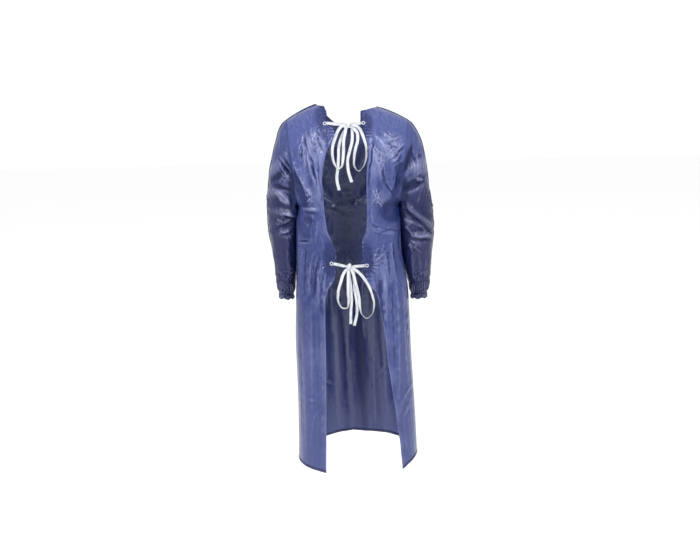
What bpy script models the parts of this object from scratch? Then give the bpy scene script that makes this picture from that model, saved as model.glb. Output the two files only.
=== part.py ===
# Sleeved chemical apron in the form it takes when worn: open back, tapes tied at neck and waist.
# Metres, +Z up. The garment's front faces -Y, its left side is +X, and the origin is the point
# between the shoulders that carries it.

import math

import bpy
import numpy as np
from mathutils import Vector

OBJECT_NAME = "sleeved_chemical_apron"

# Driving sizes of the cloth
FILM = 0.0012
SEAM_GAP = 0.0003
CUFF_GAP = 0.0005
ARMHOLE_GAP = 0.0006
HEM_DEPTH = 0.008
HEM_WALL = 0.0024
UNDERARM_Z = -0.345
UNDERARM_X = 0.174
SHOULDER_TIP_X = 0.203
NECK_POINT_X = 0.100
LEVEL_ROW_Z = -0.85
HEM_RISES = (0.0, HEM_DEPTH - SEAM_GAP / 2, HEM_DEPTH + SEAM_GAP / 2)
HEM_PROUD = 0.25
ROUND_OVER = 0.13
SECTION_POWER = 2.3
SHOULDER_POWER = 2.2
SLEEVE_ROUNDNESS = 0.9
ARMHOLE_RINGS = 6
ARMHOLE_DEPTH = 0.080
NECKLINE_POWER = {-1: 1.6, 1: 1.0}

# Folds: the margin they die out in, the share of their height kept at their ends, and how squarely
# the cloth faces their side before they reach full height. Gathers: the flat round each ring, and the
# share of their reach at which they start to die out.
FOLD_MARGIN = 0.020
FOLD_END_SHARE = 0.3
FOLD_FACING = 0.5
GATHER_START = (0.011, 0.020)
GATHER_FADE = 0.5

# Grid sizes
FRONT_COLUMNS = 26
BACK_COLUMNS = 16
EDGE_CROWDING = 1.25
SLEEVE_AROUND = 24
CUFF_AROUND = 48
RING_SEGMENTS = (12, 4)
KNOT_SEGMENTS = (10, 6)

# Welds, tapes, rings and knots
WELD_HEIGHT = 0.0045
WELD_THICK = 0.0010
WELD_LEAN = 0.6
TAPE_WIDTH = 0.010
TAPE_THICK = 0.0008
TAPE_STEP = 0.010
RING_RADIUS = 0.0055
RING_WIRE = 0.0016
RING_LIFT = 0.0008
SLOPE_STEP = 0.004

# Body sections from the hem up: half widths left and right, depths in front of and behind the middle.
SECTION_COLUMNS = ("z", "left", "right", "front", "back", "middle")
BODY_SECTIONS = (
    (-1.300, 0.203, 0.236, 0.165, 0.145, -0.010),
    (-1.050, 0.198, 0.224, 0.156, 0.140, -0.008),
    (-0.850, 0.199, 0.213, 0.146, 0.134, -0.006),
    (-0.700, 0.194, 0.207, 0.138, 0.124, -0.002),
    (-0.630, 0.190, 0.202, 0.140, 0.096, 0.014),
    (-0.560, 0.185, 0.189, 0.144, 0.074, 0.026),
    (-0.480, 0.183, 0.178, 0.148, 0.072, 0.030),
    (-0.400, 0.181, 0.177, 0.140, 0.089, 0.021),
    (-0.345, 0.174, 0.174, 0.122, 0.113, 0.000),
    (-0.325, 0.191, 0.191, 0.124, 0.115, 0.000),
    (-0.250, 0.220, 0.220, 0.124, 0.118, 0.000),
    (-0.160, 0.236, 0.236, 0.118, 0.119, 0.000),
    (-0.080, 0.246, 0.246, 0.106, 0.108, 0.000),
    (0.020, 0.252, 0.252, 0.094, 0.096, 0.000),
)

# Shoulder line of each side: height at the neck point, then slope and curve outwards from it.
SHOULDER_COLUMNS = ("neck_z", "slope", "curve")
SHOULDERS = {"left": (-0.005, 0.30, 1.6), "right": (-0.016, 0.27, 1.5)}

# Open back edge of each side: distance from the middle at each height, from the hem up.
EDGE_COLUMNS = ("z", "x")
BACK_EDGES = {
    "left": (
        (-1.285, 0.099), (-1.100, 0.094), (-0.870, 0.089), (-0.727, 0.088), (-0.664, 0.086),
        (-0.624, 0.076), (-0.587, 0.053), (-0.560, 0.048), (-0.533, 0.052), (-0.510, 0.045),
        (-0.462, 0.057), (-0.420, 0.074), (-0.333, 0.083), (-0.266, 0.086), (-0.204, 0.079),
        (-0.152, 0.066), (-0.126, 0.045), (-0.105, 0.040), (-0.086, 0.045), (-0.066, 0.062),
        (-0.040, 0.066), (-0.012, 0.066)),
    "right": (
        (-1.285, 0.174), (-1.152, 0.160), (-1.001, 0.141), (-0.902, 0.127), (-0.781, 0.115),
        (-0.699, 0.103), (-0.643, 0.091), (-0.603, 0.060), (-0.566, 0.050), (-0.542, 0.046),
        (-0.496, 0.042), (-0.464, 0.043), (-0.427, 0.057), (-0.360, 0.061), (-0.297, 0.060),
        (-0.224, 0.062), (-0.160, 0.068), (-0.120, 0.063), (-0.092, 0.054), (-0.069, 0.044),
        (-0.049, 0.045), (-0.030, 0.045)),
}
TOP_INNER = {"left": 0.066, "right": 0.045}
HEMS = {
    "left": {"front": -1.237, "side": -1.268, "back": -1.281},
    "right": {"front": -1.237, "side": -1.252, "back": -1.283},
}
BACK_NECK_Z = {"left": -0.012, "right": -0.030}
FRONT_NECK_Z = -0.085

# Rows of the panels: heights below the underarm, then shares of the way from underarm to top.
FRONT_LEVELS = (-1.05, -0.85, -0.70, -0.63, -0.56, -0.48, -0.40)
FRONT_UPPER = (0.0, 0.045, 0.13, 0.25, 0.38, 0.51, 0.63, 0.74, 0.83, 0.90, 0.95, 0.985, 0.996, 1.0)
BACK_LEVELS = (-1.05, -0.95, -0.85, -0.77, -0.70, -0.66, -0.63, -0.606, -0.585, -0.572, -0.56,
               -0.546, -0.533, -0.518, -0.50, -0.48, -0.45, -0.425, -0.40, -0.372)
BACK_UPPER = (0.0, 0.045, 0.12, 0.21, 0.31, 0.41, 0.51, 0.59, 0.65, 0.70, 0.745, 0.785, 0.825,
               0.86, 0.895, 0.93, 0.96, 0.985, 0.996, 1.0)

# Sleeve rings from the armhole down: outer and inner line, middle and half depth front to back.
SLEEVE_COLUMNS = ("outer_x", "outer_z", "inner_x", "inner_z", "middle", "half_depth")
SLEEVE_RINGS = {
    "left": (
        (0.214, -0.060, 0.179, -0.351, 0.000, 0.077),
        (0.229, -0.081, 0.182, -0.362, -0.002, 0.074),
        (0.243, -0.122, 0.183, -0.376, -0.006, 0.072),
        (0.258, -0.176, 0.183, -0.394, -0.011, 0.070),
        (0.271, -0.238, 0.182, -0.415, -0.016, 0.069),
        (0.280, -0.305, 0.180, -0.440, -0.025, 0.068),
        (0.284, -0.368, 0.180, -0.470, -0.031, 0.067),
        (0.283, -0.426, 0.181, -0.503, -0.035, 0.065),
        (0.276, -0.476, 0.183, -0.535, -0.038, 0.062),
        (0.271, -0.522, 0.186, -0.567, -0.040, 0.058),
        (0.266, -0.564, 0.190, -0.596, -0.042, 0.054),
        (0.265, -0.602, 0.194, -0.620, -0.044, 0.049)),
    "right": (
        (0.214, -0.066, 0.179, -0.351, 0.000, 0.077),
        (0.231, -0.088, 0.182, -0.362, -0.002, 0.074),
        (0.249, -0.124, 0.181, -0.377, -0.006, 0.072),
        (0.264, -0.180, 0.179, -0.396, -0.011, 0.070),
        (0.274, -0.245, 0.177, -0.418, -0.016, 0.069),
        (0.284, -0.315, 0.176, -0.444, -0.025, 0.068),
        (0.292, -0.376, 0.176, -0.474, -0.031, 0.067),
        (0.296, -0.438, 0.179, -0.508, -0.035, 0.066),
        (0.293, -0.492, 0.183, -0.540, -0.038, 0.063),
        (0.289, -0.540, 0.190, -0.572, -0.040, 0.059),
        (0.287, -0.580, 0.199, -0.602, -0.042, 0.054),
        (0.285, -0.614, 0.208, -0.629, -0.044, 0.049)),
}

# Cuffs: the rings that follow the sleeve, with the height of the gathers at each.
CUFF_COLUMNS = ("outer_x", "outer_z", "inner_x", "inner_z", "middle", "half_depth", "gather")
CUFF_GATHERS = 12
CUFF_RINGS = {
    "left": (
        (0.265, -0.602, 0.194, -0.620, -0.044, 0.049, 0.0000),
        (0.263, -0.621, 0.197, -0.636, -0.046, 0.046, 0.0016),
        (0.261, -0.640, 0.200, -0.651, -0.048, 0.042, 0.0028),
        (0.255, -0.660, 0.206, -0.667, -0.050, 0.034, 0.0028),
        (0.256, -0.677, 0.204, -0.681, -0.051, 0.037, 0.0036)),
    "right": (
        (0.285, -0.614, 0.208, -0.629, -0.044, 0.049, 0.0000),
        (0.284, -0.632, 0.211, -0.644, -0.046, 0.046, 0.0016),
        (0.281, -0.650, 0.214, -0.658, -0.048, 0.042, 0.0028),
        (0.274, -0.668, 0.220, -0.673, -0.050, 0.034, 0.0028),
        (0.275, -0.685, 0.218, -0.688, -0.051, 0.037, 0.0036)),
}

# Folds, each a soft ridge (or a trough, below zero) along a line seen from the named side.
FOLD_COLUMNS = ("view", "x0", "z0", "x1", "z1", "width", "height")
BACK_FOLDS = {
    "left": (
        ("back", 0.088, -0.095, 0.118, -0.215, 0.011, 0.0080),
        ("back", 0.106, -0.088, 0.146, -0.215, 0.013, 0.0088),
        ("back", 0.098, -0.110, 0.133, -0.300, 0.011, -0.0072),
        ("back", 0.078, -0.118, 0.100, -0.300, 0.011, 0.0080),
        ("back", 0.066, -0.150, 0.090, -0.330, 0.010, -0.0056),
        ("back", 0.168, -0.190, 0.124, -0.335, 0.013, 0.0096),
        ("back", 0.106, -0.349, 0.152, -0.345, 0.010, 0.0080),
        ("back", 0.120, -0.375, 0.150, -0.400, 0.025, -0.0096),
        ("back", 0.126, -0.455, 0.166, -0.462, 0.010, 0.0072),
        ("back", 0.090, -0.555, 0.122, -0.700, 0.013, 0.0072),
        ("back", 0.115, -0.560, 0.150, -0.690, 0.013, -0.0064),
        ("back", 0.150, -0.620, 0.160, -1.260, 0.023, 0.0080),
        ("back", 0.118, -0.700, 0.122, -1.270, 0.021, -0.0064)),
    "right": (
        ("back", -0.086, -0.098, -0.176, -0.215, 0.013, 0.0080),
        ("back", -0.080, -0.160, -0.118, -0.225, 0.013, 0.0096),
        ("back", -0.186, -0.150, -0.158, -0.285, 0.014, -0.0128),
        ("back", -0.084, -0.285, -0.112, -0.345, 0.013, 0.0088),
        ("back", -0.145, -0.368, -0.120, -0.350, 0.023, -0.0110),
        ("back", -0.090, -0.418, -0.160, -0.434, 0.011, 0.0080),
        ("back", -0.088, -0.120, -0.078, -0.420, 0.014, 0.0064),
        ("back", -0.110, -0.560, -0.130, -0.720, 0.014, 0.0080),
        ("back", -0.090, -0.560, -0.110, -0.700, 0.013, -0.0064),
        ("back", -0.150, -0.600, -0.172, -1.255, 0.023, 0.0088),
        ("back", -0.148, -0.760, -0.190, -1.270, 0.018, -0.0072)),
}
FRONT_FOLDS = (
    ("front", -0.150, -0.180, -0.060, -0.330, 0.018, 0.0096),
    ("front", 0.155, -0.170, 0.070, -0.340, 0.018, 0.0096),
    ("front", -0.085, -0.120, -0.030, -0.260, 0.016, 0.0072),
    ("front", 0.080, -0.110, 0.035, -0.250, 0.016, 0.0072),
    ("front", -0.160, -0.500, -0.080, -0.720, 0.021, 0.0096),
    ("front", 0.155, -0.490, 0.090, -0.730, 0.021, 0.0096),
    ("front", -0.120, -0.560, -0.130, -1.240, 0.025, 0.0112),
    ("front", 0.060, -0.600, 0.055, -1.235, 0.025, 0.0112),
    ("front", -0.030, -0.620, -0.040, -1.235, 0.025, -0.0096),
    ("front", 0.140, -0.640, 0.150, -1.240, 0.025, -0.0096),
)
SLEEVE_FOLDS = {
    "left": (
        ("back", 0.196, -0.160, 0.262, -0.235, 0.014, 0.0096),
        ("back", 0.192, -0.215, 0.270, -0.255, 0.014, -0.0096),
        ("back", 0.200, -0.275, 0.272, -0.300, 0.015, 0.0112),
        ("back", 0.184, -0.370, 0.262, -0.352, 0.015, 0.0112),
        ("back", 0.190, -0.405, 0.255, -0.425, 0.014, -0.0096),
        ("back", 0.190, -0.455, 0.250, -0.430, 0.014, 0.0080),
        ("front", 0.200, -0.240, 0.270, -0.330, 0.015, 0.0096),
        ("front", 0.185, -0.400, 0.262, -0.360, 0.015, 0.0096),
        ("front", 0.186, -0.430, 0.255, -0.425, 0.014, -0.0096),
        ("front", 0.188, -0.500, 0.250, -0.455, 0.014, 0.0080)),
    "right": (
        ("back", -0.185, -0.290, -0.262, -0.250, 0.013, -0.0112),
        ("back", -0.190, -0.235, -0.255, -0.205, 0.015, 0.0088),
        ("back", -0.190, -0.335, -0.280, -0.430, 0.014, 0.0112),
        ("back", -0.200, -0.390, -0.275, -0.470, 0.014, -0.0080),
        ("back", -0.192, -0.420, -0.280, -0.415, 0.015, 0.0096),
        ("back", -0.196, -0.500, -0.250, -0.470, 0.014, 0.0072),
        ("front", -0.198, -0.220, -0.272, -0.300, 0.015, 0.0096),
        ("front", -0.184, -0.410, -0.270, -0.350, 0.015, 0.0096),
        ("front", -0.186, -0.450, -0.270, -0.430, 0.014, -0.0096),
        ("front", -0.190, -0.520, -0.262, -0.480, 0.014, 0.0080)),
}

# Gathers that fan out round each tape ring: how many to the full turn, how far, how high.
GATHER_COLUMNS = ("x", "z", "count", "reach", "height")
GATHERS = {
    "left": ((0.073, -0.068, 16, 0.034, 0.0024), (0.063, -0.534, 14, 0.042, 0.0026)),
    "right": ((-0.056, -0.069, 15, 0.034, 0.0024), (-0.059, -0.543, 14, 0.044, 0.0026)),
}

# Tape rings: where each tape is looped round the film's edge.
RING_COLUMNS = ("name", "side", "x", "z")
RINGS = (
    ("neck_ring_left", "left", 0.0720, -0.0680),
    ("neck_ring_right", "right", -0.0535, -0.0690),
    ("waist_ring_left", "left", 0.0620, -0.5340),
    ("waist_ring_right", "right", -0.0575, -0.5430),
)
KNOTS = {
    "neck_knot": ((-0.0050, 0.1075, -0.0720), (0.0070, 0.0040, 0.0065)),
    "waist_knot": ((0.0030, 0.1060, -0.5440), (0.0070, 0.0040, 0.0070)),
}

# Tapes: points along each, with the turn of the width out of the back's plane in degrees.
ROUTE_COLUMNS = ("x", "y", "z", "turn")
TAPES = {
    "neck_lead_left": (
        (0.0656, 0.0994, -0.0670, 0), (0.0560, 0.1038, -0.0682, 0), (0.0250, 0.1060, -0.0707, 0),
        (0.0024, 0.1070, -0.0720, 0)),
    "neck_lead_right": (
        (-0.0469, 0.1002, -0.0678, 0), (-0.0410, 0.1030, -0.0696, 0), (-0.0240, 0.1058, -0.0714, 0),
        (-0.0124, 0.1070, -0.0720, 0)),
    "neck_loop_left": (
        (0.0016, 0.1092, -0.0728, 0), (0.0150, 0.1102, -0.0760, 0), (0.0270, 0.1144, -0.0880, 0),
        (0.0380, 0.1168, -0.1120, 10), (0.0480, 0.1190, -0.1400, 20), (0.0500, 0.1210, -0.1700, 35),
        (0.0430, 0.1228, -0.2000, 60), (0.0310, 0.1240, -0.2160, 85), (0.0210, 0.1240, -0.2080, 60),
        (0.0150, 0.1226, -0.1820, 20), (0.0130, 0.1206, -0.1560, 5), (0.0120, 0.1182, -0.1260, 0),
        (0.0060, 0.1142, -0.0980, 0), (0.0010, 0.1107, -0.0774, 0)),
    "neck_loop_right": (
        (-0.0118, 0.1092, -0.0726, 0), (-0.0250, 0.1098, -0.0750, 0),
        (-0.0400, 0.1114, -0.0860, 0), (-0.0520, 0.1136, -0.1120, 15),
        (-0.0610, 0.1154, -0.1440, 35), (-0.0610, 0.1164, -0.1780, 60),
        (-0.0500, 0.1174, -0.2100, 80), (-0.0360, 0.1180, -0.2235, 90),
        (-0.0230, 0.1180, -0.2090, 70), (-0.0210, 0.1172, -0.1820, 40),
        (-0.0270, 0.1158, -0.1500, 20), (-0.0340, 0.1142, -0.1240, 10),
        (-0.0320, 0.1126, -0.0980, 0), (-0.0190, 0.1120, -0.0835, 0),
        (-0.0084, 0.1114, -0.0754, 0)),
    "neck_tail_left": (
        (0.0010, 0.1081, -0.0787, 0), (0.0050, 0.1085, -0.0880, 0), (0.0150, 0.1090, -0.1060, 0),
        (0.0270, 0.1102, -0.1400, 0), (0.0300, 0.1114, -0.1780, 0), (0.0330, 0.1122, -0.2140, 0),
        (0.0370, 0.1130, -0.2500, 20), (0.0300, 0.1134, -0.2860, 10)),
    "neck_tail_right": (
        (-0.0130, 0.1080, -0.0781, 0), (-0.0170, 0.1090, -0.1040, 0), (-0.0150, 0.1110, -0.1300, 0),
        (-0.0070, 0.1126, -0.1580, 0), (0.0000, 0.1138, -0.1870, 10), (-0.0010, 0.1148, -0.2200, 10),
        (-0.0120, 0.1156, -0.2600, 0)),
    "waist_lead_left": (
        (0.0553, 0.0997, -0.5345, 0), (0.0400, 0.1022, -0.5375, 0), (0.0260, 0.1042, -0.5410, 0),
        (0.0104, 0.1055, -0.5435, 0)),
    "waist_lead_right": (
        (-0.0508, 0.0997, -0.5430, 0), (-0.0360, 0.1024, -0.5438, 0), (-0.0210, 0.1043, -0.5442, 0),
        (-0.0044, 0.1055, -0.5444, 0)),
    "waist_loop_left": (
        (0.0080, 0.1080, -0.5490, 0), (0.0200, 0.1100, -0.5640, 0), (0.0320, 0.1130, -0.5960, 10),
        (0.0420, 0.1150, -0.6330, 25), (0.0410, 0.1170, -0.6640, 55), (0.0280, 0.1184, -0.6850, 85),
        (0.0130, 0.1186, -0.6860, 85), (0.0070, 0.1174, -0.6640, 40), (0.0075, 0.1156, -0.6320, 10),
        (0.0070, 0.1132, -0.5960, 0), (0.0040, 0.1094, -0.5494, 0)),
    "waist_loop_right": (
        (-0.0038, 0.1080, -0.5470, 0), (-0.0220, 0.1100, -0.5580, 0),
        (-0.0420, 0.1124, -0.5780, 10), (-0.0600, 0.1150, -0.6060, 25),
        (-0.0730, 0.1172, -0.6400, 40), (-0.0790, 0.1190, -0.6800, 60),
        (-0.0700, 0.1202, -0.7100, 80), (-0.0540, 0.1208, -0.7210, 90),
        (-0.0390, 0.1204, -0.7100, 75), (-0.0320, 0.1192, -0.6820, 40),
        (-0.0290, 0.1170, -0.6480, 20), (-0.0200, 0.1140, -0.6080, 10),
        (-0.0070, 0.1117, -0.5590, 0), (-0.0014, 0.1110, -0.5484, 0)),
    "waist_tail_left": (
        (0.0040, 0.1062, -0.5515, 0), (0.0020, 0.1080, -0.5840, 0), (-0.0020, 0.1100, -0.6200, 0),
        (-0.0030, 0.1120, -0.6600, 10), (0.0000, 0.1136, -0.7000, 20),
        (0.0010, 0.1144, -0.7420, 0)),
    "waist_tail_right": (
        (-0.0070, 0.1064, -0.5496, 0), (-0.0130, 0.1084, -0.5860, 0),
        (-0.0150, 0.1110, -0.6240, 0), (-0.0210, 0.1126, -0.6660, 10),
        (-0.0210, 0.1140, -0.7020, 25), (-0.0110, 0.1152, -0.7480, 0)),
}

FILM_COLOUR = (0.105, 0.120, 0.330, 1.0)
SLEEVE_COLOUR = (0.085, 0.085, 0.235, 1.0)
HEM_COLOUR = (0.035, 0.035, 0.120, 1.0)
TAPE_COLOUR = (0.86, 0.88, 0.89, 1.0)
FILM_ROUGHNESS = 0.32
FILM_COAT = 0.3
TAPE_ROUGHNESS = 0.85


# Values read smoothly from the tables

def column(table, names, name):
    return np.array([row[names.index(name)] for row in table])


def cubic(keys, values, slopes, at):
    # Through every point, with the slope named at each.
    cell = np.clip(np.searchsorted(keys, at, side="right") - 1, 0, len(keys) - 2)
    width = np.diff(keys)[cell]
    t = (at - keys[cell]) / width
    start = values[cell] * (2 * t ** 3 - 3 * t ** 2 + 1)
    end = values[cell + 1] * (3 * t ** 2 - 2 * t ** 3)
    bend = slopes[cell] * (t ** 3 - 2 * t ** 2 + t) + slopes[cell + 1] * (t ** 3 - t ** 2)
    return start + end + width * bend


def curve_through(keys, values, at):
    # Slopes that never overshoot between the table's points, and none beyond its ends.
    rises = np.diff(values) / np.diff(keys)
    same_way = rises[:-1] * rises[1:] > 0
    total = np.where(same_way, rises[:-1] + rises[1:], 1.0)
    middle = np.where(same_way, 2 * rises[:-1] * rises[1:] / total, 0.0)
    slopes = np.concatenate((rises[:1], middle, rises[-1:]))
    return cubic(keys, values, slopes, np.clip(at, keys[0], keys[-1]))


def section(name, z):
    heights = column(BODY_SECTIONS, SECTION_COLUMNS, "z")
    return curve_through(heights, column(BODY_SECTIONS, SECTION_COLUMNS, name), z)


def side_seam_y(z):
    # Straight between the sections, whose heights are rows of every panel, so the seams match.
    heights = column(BODY_SECTIONS, SECTION_COLUMNS, "z")
    return np.interp(z, heights, column(BODY_SECTIONS, SECTION_COLUMNS, "middle"))


def smooth_step(low, high, value):
    t = np.clip((value - low) / (high - low), 0.0, 1.0)
    return t * t * (3 - 2 * t)


# The body's form, in distances out from the middle of one side

def shoulder_height(side, distance):
    line = dict(zip(SHOULDER_COLUMNS, SHOULDERS[side]))
    out = distance - NECK_POINT_X
    return line["neck_z"] - line["slope"] * out - line["curve"] * out * np.abs(out)


def outer_distance(side, z):
    # The side seam below the underarm; above it the armhole, in a plane that leans in downwards.
    tip_z = shoulder_height(side, SHOULDER_TIP_X)
    share = np.clip((z - UNDERARM_Z) / (tip_z - UNDERARM_Z), 0.0, 1.0)
    armhole = UNDERARM_X + (SHOULDER_TIP_X - UNDERARM_X) * share
    return np.where(z <= UNDERARM_Z, section(side, z), armhole)


def inner_distance(side, facing, z):
    # The open edge behind; in front each half starts at the middle.
    if facing < 0:
        return np.zeros_like(z)
    edge = BACK_EDGES[side]
    return curve_through(column(edge, EDGE_COLUMNS, "z"), column(edge, EDGE_COLUMNS, "x"), z)


def body_y(side, distance, z, facing):
    # Half an oval, rounded over towards the shoulder line. facing is 1 behind and -1 in front.
    depth = section("back" if facing > 0 else "front", z)
    across = np.clip(distance / section(side, z), 0.0, 1.0)
    oval = (1 - across ** SECTION_POWER) ** (1 / SECTION_POWER)
    drop = np.clip((shoulder_height(side, distance) - z) / ROUND_OVER, 0.0, 1.0)
    rounding = (1 - (1 - drop) ** SHOULDER_POWER) ** (1 / SHOULDER_POWER)
    return side_seam_y(z) + facing * (depth * oval * rounding + SEAM_GAP / 2)


def top_height(side, facing, distance, inner):
    # The shoulder line, and inside its neck point the neckline down to its lowest point.
    neck_z = shoulder_height(side, NECK_POINT_X)
    low_z = FRONT_NECK_Z if facing < 0 else BACK_NECK_Z[side]
    share = np.clip((distance - inner) / (NECK_POINT_X - inner), 0.0, 1.0)
    neckline = low_z + (neck_z - low_z) * share ** NECKLINE_POWER[facing]
    return np.where(distance < NECK_POINT_X, neckline, shoulder_height(side, distance))


def column_shares(side, facing, count, crowding):
    # Columns even along the oval at the underarm, closer towards the open edge.
    z = np.array(UNDERARM_Z)
    outer = float(outer_distance(side, z))
    inner = float(inner_distance(side, facing, z))
    start = math.asin((inner / outer) ** (SECTION_POWER / 2))
    angles = start + (math.pi / 2 - start) * (np.arange(count + 1) / count) ** crowding
    distances = outer * np.sin(angles) ** (2 / SECTION_POWER)
    return (distances - inner) / (outer - inner)


def panel_half(side, facing, shares, levels, upper):
    # Rows from the hem up to the underarm at the levels, then fanned out to the neck and shoulder.
    hem = HEMS[side]
    hem_line = hem["side"] + (hem["back" if facing > 0 else "front"] - hem["side"]) * (1 - shares)
    hem_rows = [hem_line + rise for rise in HEM_RISES]
    level_rows = []
    for level in levels:
        fade = np.clip((LEVEL_ROW_Z - level) / (LEVEL_ROW_Z - hem["side"]), 0.0, 1.0)
        level_rows.append(level + (hem_line - hem["side"]) * fade)
    top_inner = TOP_INNER[side] if facing > 0 else 0.0
    top_distance = top_inner + (SHOULDER_TIP_X - top_inner) * shares
    rise = top_height(side, facing, top_distance, top_inner) - UNDERARM_Z
    upper_rows = [UNDERARM_Z + rise * share for share in upper]
    z = np.array(hem_rows + level_rows + upper_rows)
    inner = inner_distance(side, facing, z[:, :1])
    outer = outer_distance(side, z[:, -1:])
    distance = inner + (outer - inner) * shares
    y = body_y(side, distance, z, facing)
    across = 1 if side == "left" else -1
    return np.stack((across * distance, y, z), axis=2)


def armhole_ring(side, angles):
    # The loop that both panels leave, as heights round the leaning plane.
    tip_z = shoulder_height(side, SHOULDER_TIP_X)
    z = (tip_z + UNDERARM_Z) / 2 + (tip_z - UNDERARM_Z) / 2 * np.cos(angles)
    distance = outer_distance(side, z)
    swing = np.round(np.sin(angles), 6)
    behind = np.where(swing > 0, body_y(side, distance, z, 1), 0.0)
    return distance, np.where(swing < 0, body_y(side, distance, z, -1), behind), z


def tube_points(side, table, names, around, armhole_share):
    # Ovals between an outer and an inner line; the first ones keep some of the armhole's shape.
    across = 1 if side == "left" else -1
    angles = np.arange(around) / around * 2 * math.pi
    swing = np.sign(np.sin(angles)) * np.abs(np.sin(angles)) ** SLEEVE_ROUNDNESS
    loop_y = armhole_ring(side, angles)[1]
    rings = []
    for index in range(len(table)):
        row = dict(zip(names, table[index]))
        centre_x = (row["outer_x"] + row["inner_x"]) / 2
        centre_z = (row["outer_z"] + row["inner_z"]) / 2
        x = centre_x + (row["outer_x"] - row["inner_x"]) / 2 * np.cos(angles)
        z = centre_z + (row["outer_z"] - row["inner_z"]) / 2 * np.cos(angles)
        share = 1 - smooth_step(0, ARMHOLE_RINGS, index + 1) if armhole_share else 0.0
        oval_y = row["half_depth"] * swing
        y = row["middle"] + share * loop_y * row["half_depth"] / ARMHOLE_DEPTH
        rings.append(np.stack((across * x, y + (1 - share) * oval_y, z), axis=1))
    return np.array(rings)


# Normals, folds and gathers

def outward_normals(points, closed):
    # Cross products of the grid's two directions, turned to point away from each row's middle.
    down = np.gradient(points, axis=0)
    if closed:
        along = np.roll(points, -1, axis=1) - np.roll(points, 1, axis=1)
        middle = points.mean(axis=1, keepdims=True)
    else:
        along = np.gradient(points, axis=1)
        middle = points * (0, 0, 1)
    normals = np.cross(along, down)
    normals /= np.linalg.norm(normals, axis=2, keepdims=True)
    turned = np.sum(normals * (points - middle)) < 0
    return -normals if turned else normals


def fold_heights(points, normals, folds):
    # Each fold is a bell-shaped ridge round its line, highest half way along, on the side named.
    total = np.zeros(points.shape[:2])
    for fold in folds:
        row = dict(zip(FOLD_COLUMNS, fold))
        line = np.array((row["x1"] - row["x0"], row["z1"] - row["z0"]))
        dx = points[..., 0] - row["x0"]
        dz = points[..., 2] - row["z0"]
        t = np.clip((dx * line[0] + dz * line[1]) / (line @ line), 0.0, 1.0)
        away = np.hypot(dx - t * line[0], dz - t * line[1]) / row["width"]
        facing = normals[..., 1] * (1 if row["view"] == "back" else -1)
        lengthwise = FOLD_END_SHARE + (1 - FOLD_END_SHARE) * np.sin(math.pi * t)
        turned_away = smooth_step(0.0, FOLD_FACING, facing)
        total += row["height"] * np.exp(-away ** 2) * lengthwise * turned_away
    return total


def gather_heights(points, gathers):
    # Waves that fan out from each tape ring and leave the cloth under the ring itself flat.
    total = np.zeros(points.shape[:2])
    for gather in gathers:
        row = dict(zip(GATHER_COLUMNS, gather))
        dx = points[..., 0] - row["x"]
        dz = points[..., 2] - row["z"]
        away = np.hypot(dx, dz)
        fade = 1 - smooth_step(GATHER_FADE, 1.0, away / row["reach"])
        swell = smooth_step(*GATHER_START, away) * fade
        total += row["height"] * swell * np.cos(row["count"] * np.arctan2(dz, dx))
    return total


def length_from_first(points, axis):
    steps = np.linalg.norm(np.diff(points, axis=axis), axis=2)
    start = np.zeros_like(np.take(steps, [0], axis=axis))
    return np.cumsum(np.concatenate((start, steps), axis=axis), axis=axis)


def fold_panel(points, folds, gathers, seam_sides):
    # Folds die out at the side seams, armholes and shoulders, where panels meet.
    normals = outward_normals(points, False)
    height = fold_heights(points, normals, folds) + gather_heights(points, gathers)
    from_seam = length_from_first(points[:, ::-1], 1)[:, ::-1]
    height *= smooth_step(0, FOLD_MARGIN, from_seam)
    if seam_sides == 2:
        height *= smooth_step(0, FOLD_MARGIN, length_from_first(points, 1))
    from_top = length_from_first(points[::-1], 0)[::-1]
    return points + normals * (height * smooth_step(0, FOLD_MARGIN, from_top))[..., None]


def fold_sleeve(points, folds):
    normals = outward_normals(points, True)
    height = fold_heights(points, normals, folds)
    height *= smooth_step(0, FOLD_MARGIN, length_from_first(points, 0))
    height *= smooth_step(0, FOLD_MARGIN, length_from_first(points[::-1], 0)[::-1])
    return points + normals * height[..., None]


# Meshes and materials

def material(name, colour, roughness):
    made = bpy.data.materials.new(name)
    made.use_nodes = True
    shader = made.node_tree.nodes["Principled BSDF"]
    shader.inputs["Base Color"].default_value = colour
    shader.inputs["Roughness"].default_value = roughness
    made.diffuse_color = colour
    return made


def film(name, colour):
    made = material(name, colour, FILM_ROUGHNESS)
    made.node_tree.nodes["Principled BSDF"].inputs["Coat Weight"].default_value = FILM_COAT
    return made


def placed(name, mesh, collection, finish):
    made = bpy.data.objects.new(name, mesh)
    made.data.materials.append(finish)
    made.data.shade_smooth()
    collection.objects.link(made)
    return made


def grid_faces(rows, columns, closed, turned):
    row, step = np.meshgrid(np.arange(rows - 1), np.arange(columns - (not closed)), indexing="ij")
    first = row * columns + step
    second = row * columns + (step + 1) % columns
    faces = np.stack((first, second, second + columns, first + columns), axis=2).reshape(-1, 4)
    return faces[:, ::-1] if turned else faces


def cloth(name, points, collection, finish, closed=False, wall=FILM, outside=0.0):
    # One layer of points given its thickness inwards, or partly outwards by the share named.
    rows, columns = points.shape[:2]
    normals = outward_normals(points, closed)
    first = np.cross(points[0, 1] - points[0, 0], points[1, 0] - points[0, 0])
    faces = grid_faces(rows, columns, closed, first @ normals[0, 0] < 0)
    mesh = bpy.data.meshes.new(name)
    mesh.from_pydata(points.reshape(-1, 3).tolist(), [], faces.tolist())
    made = placed(name, mesh, collection, finish)
    solidify = made.modifiers.new("wall", "SOLIDIFY")
    solidify.thickness = wall
    solidify.offset = 2 * outside - 1
    return made


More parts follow.
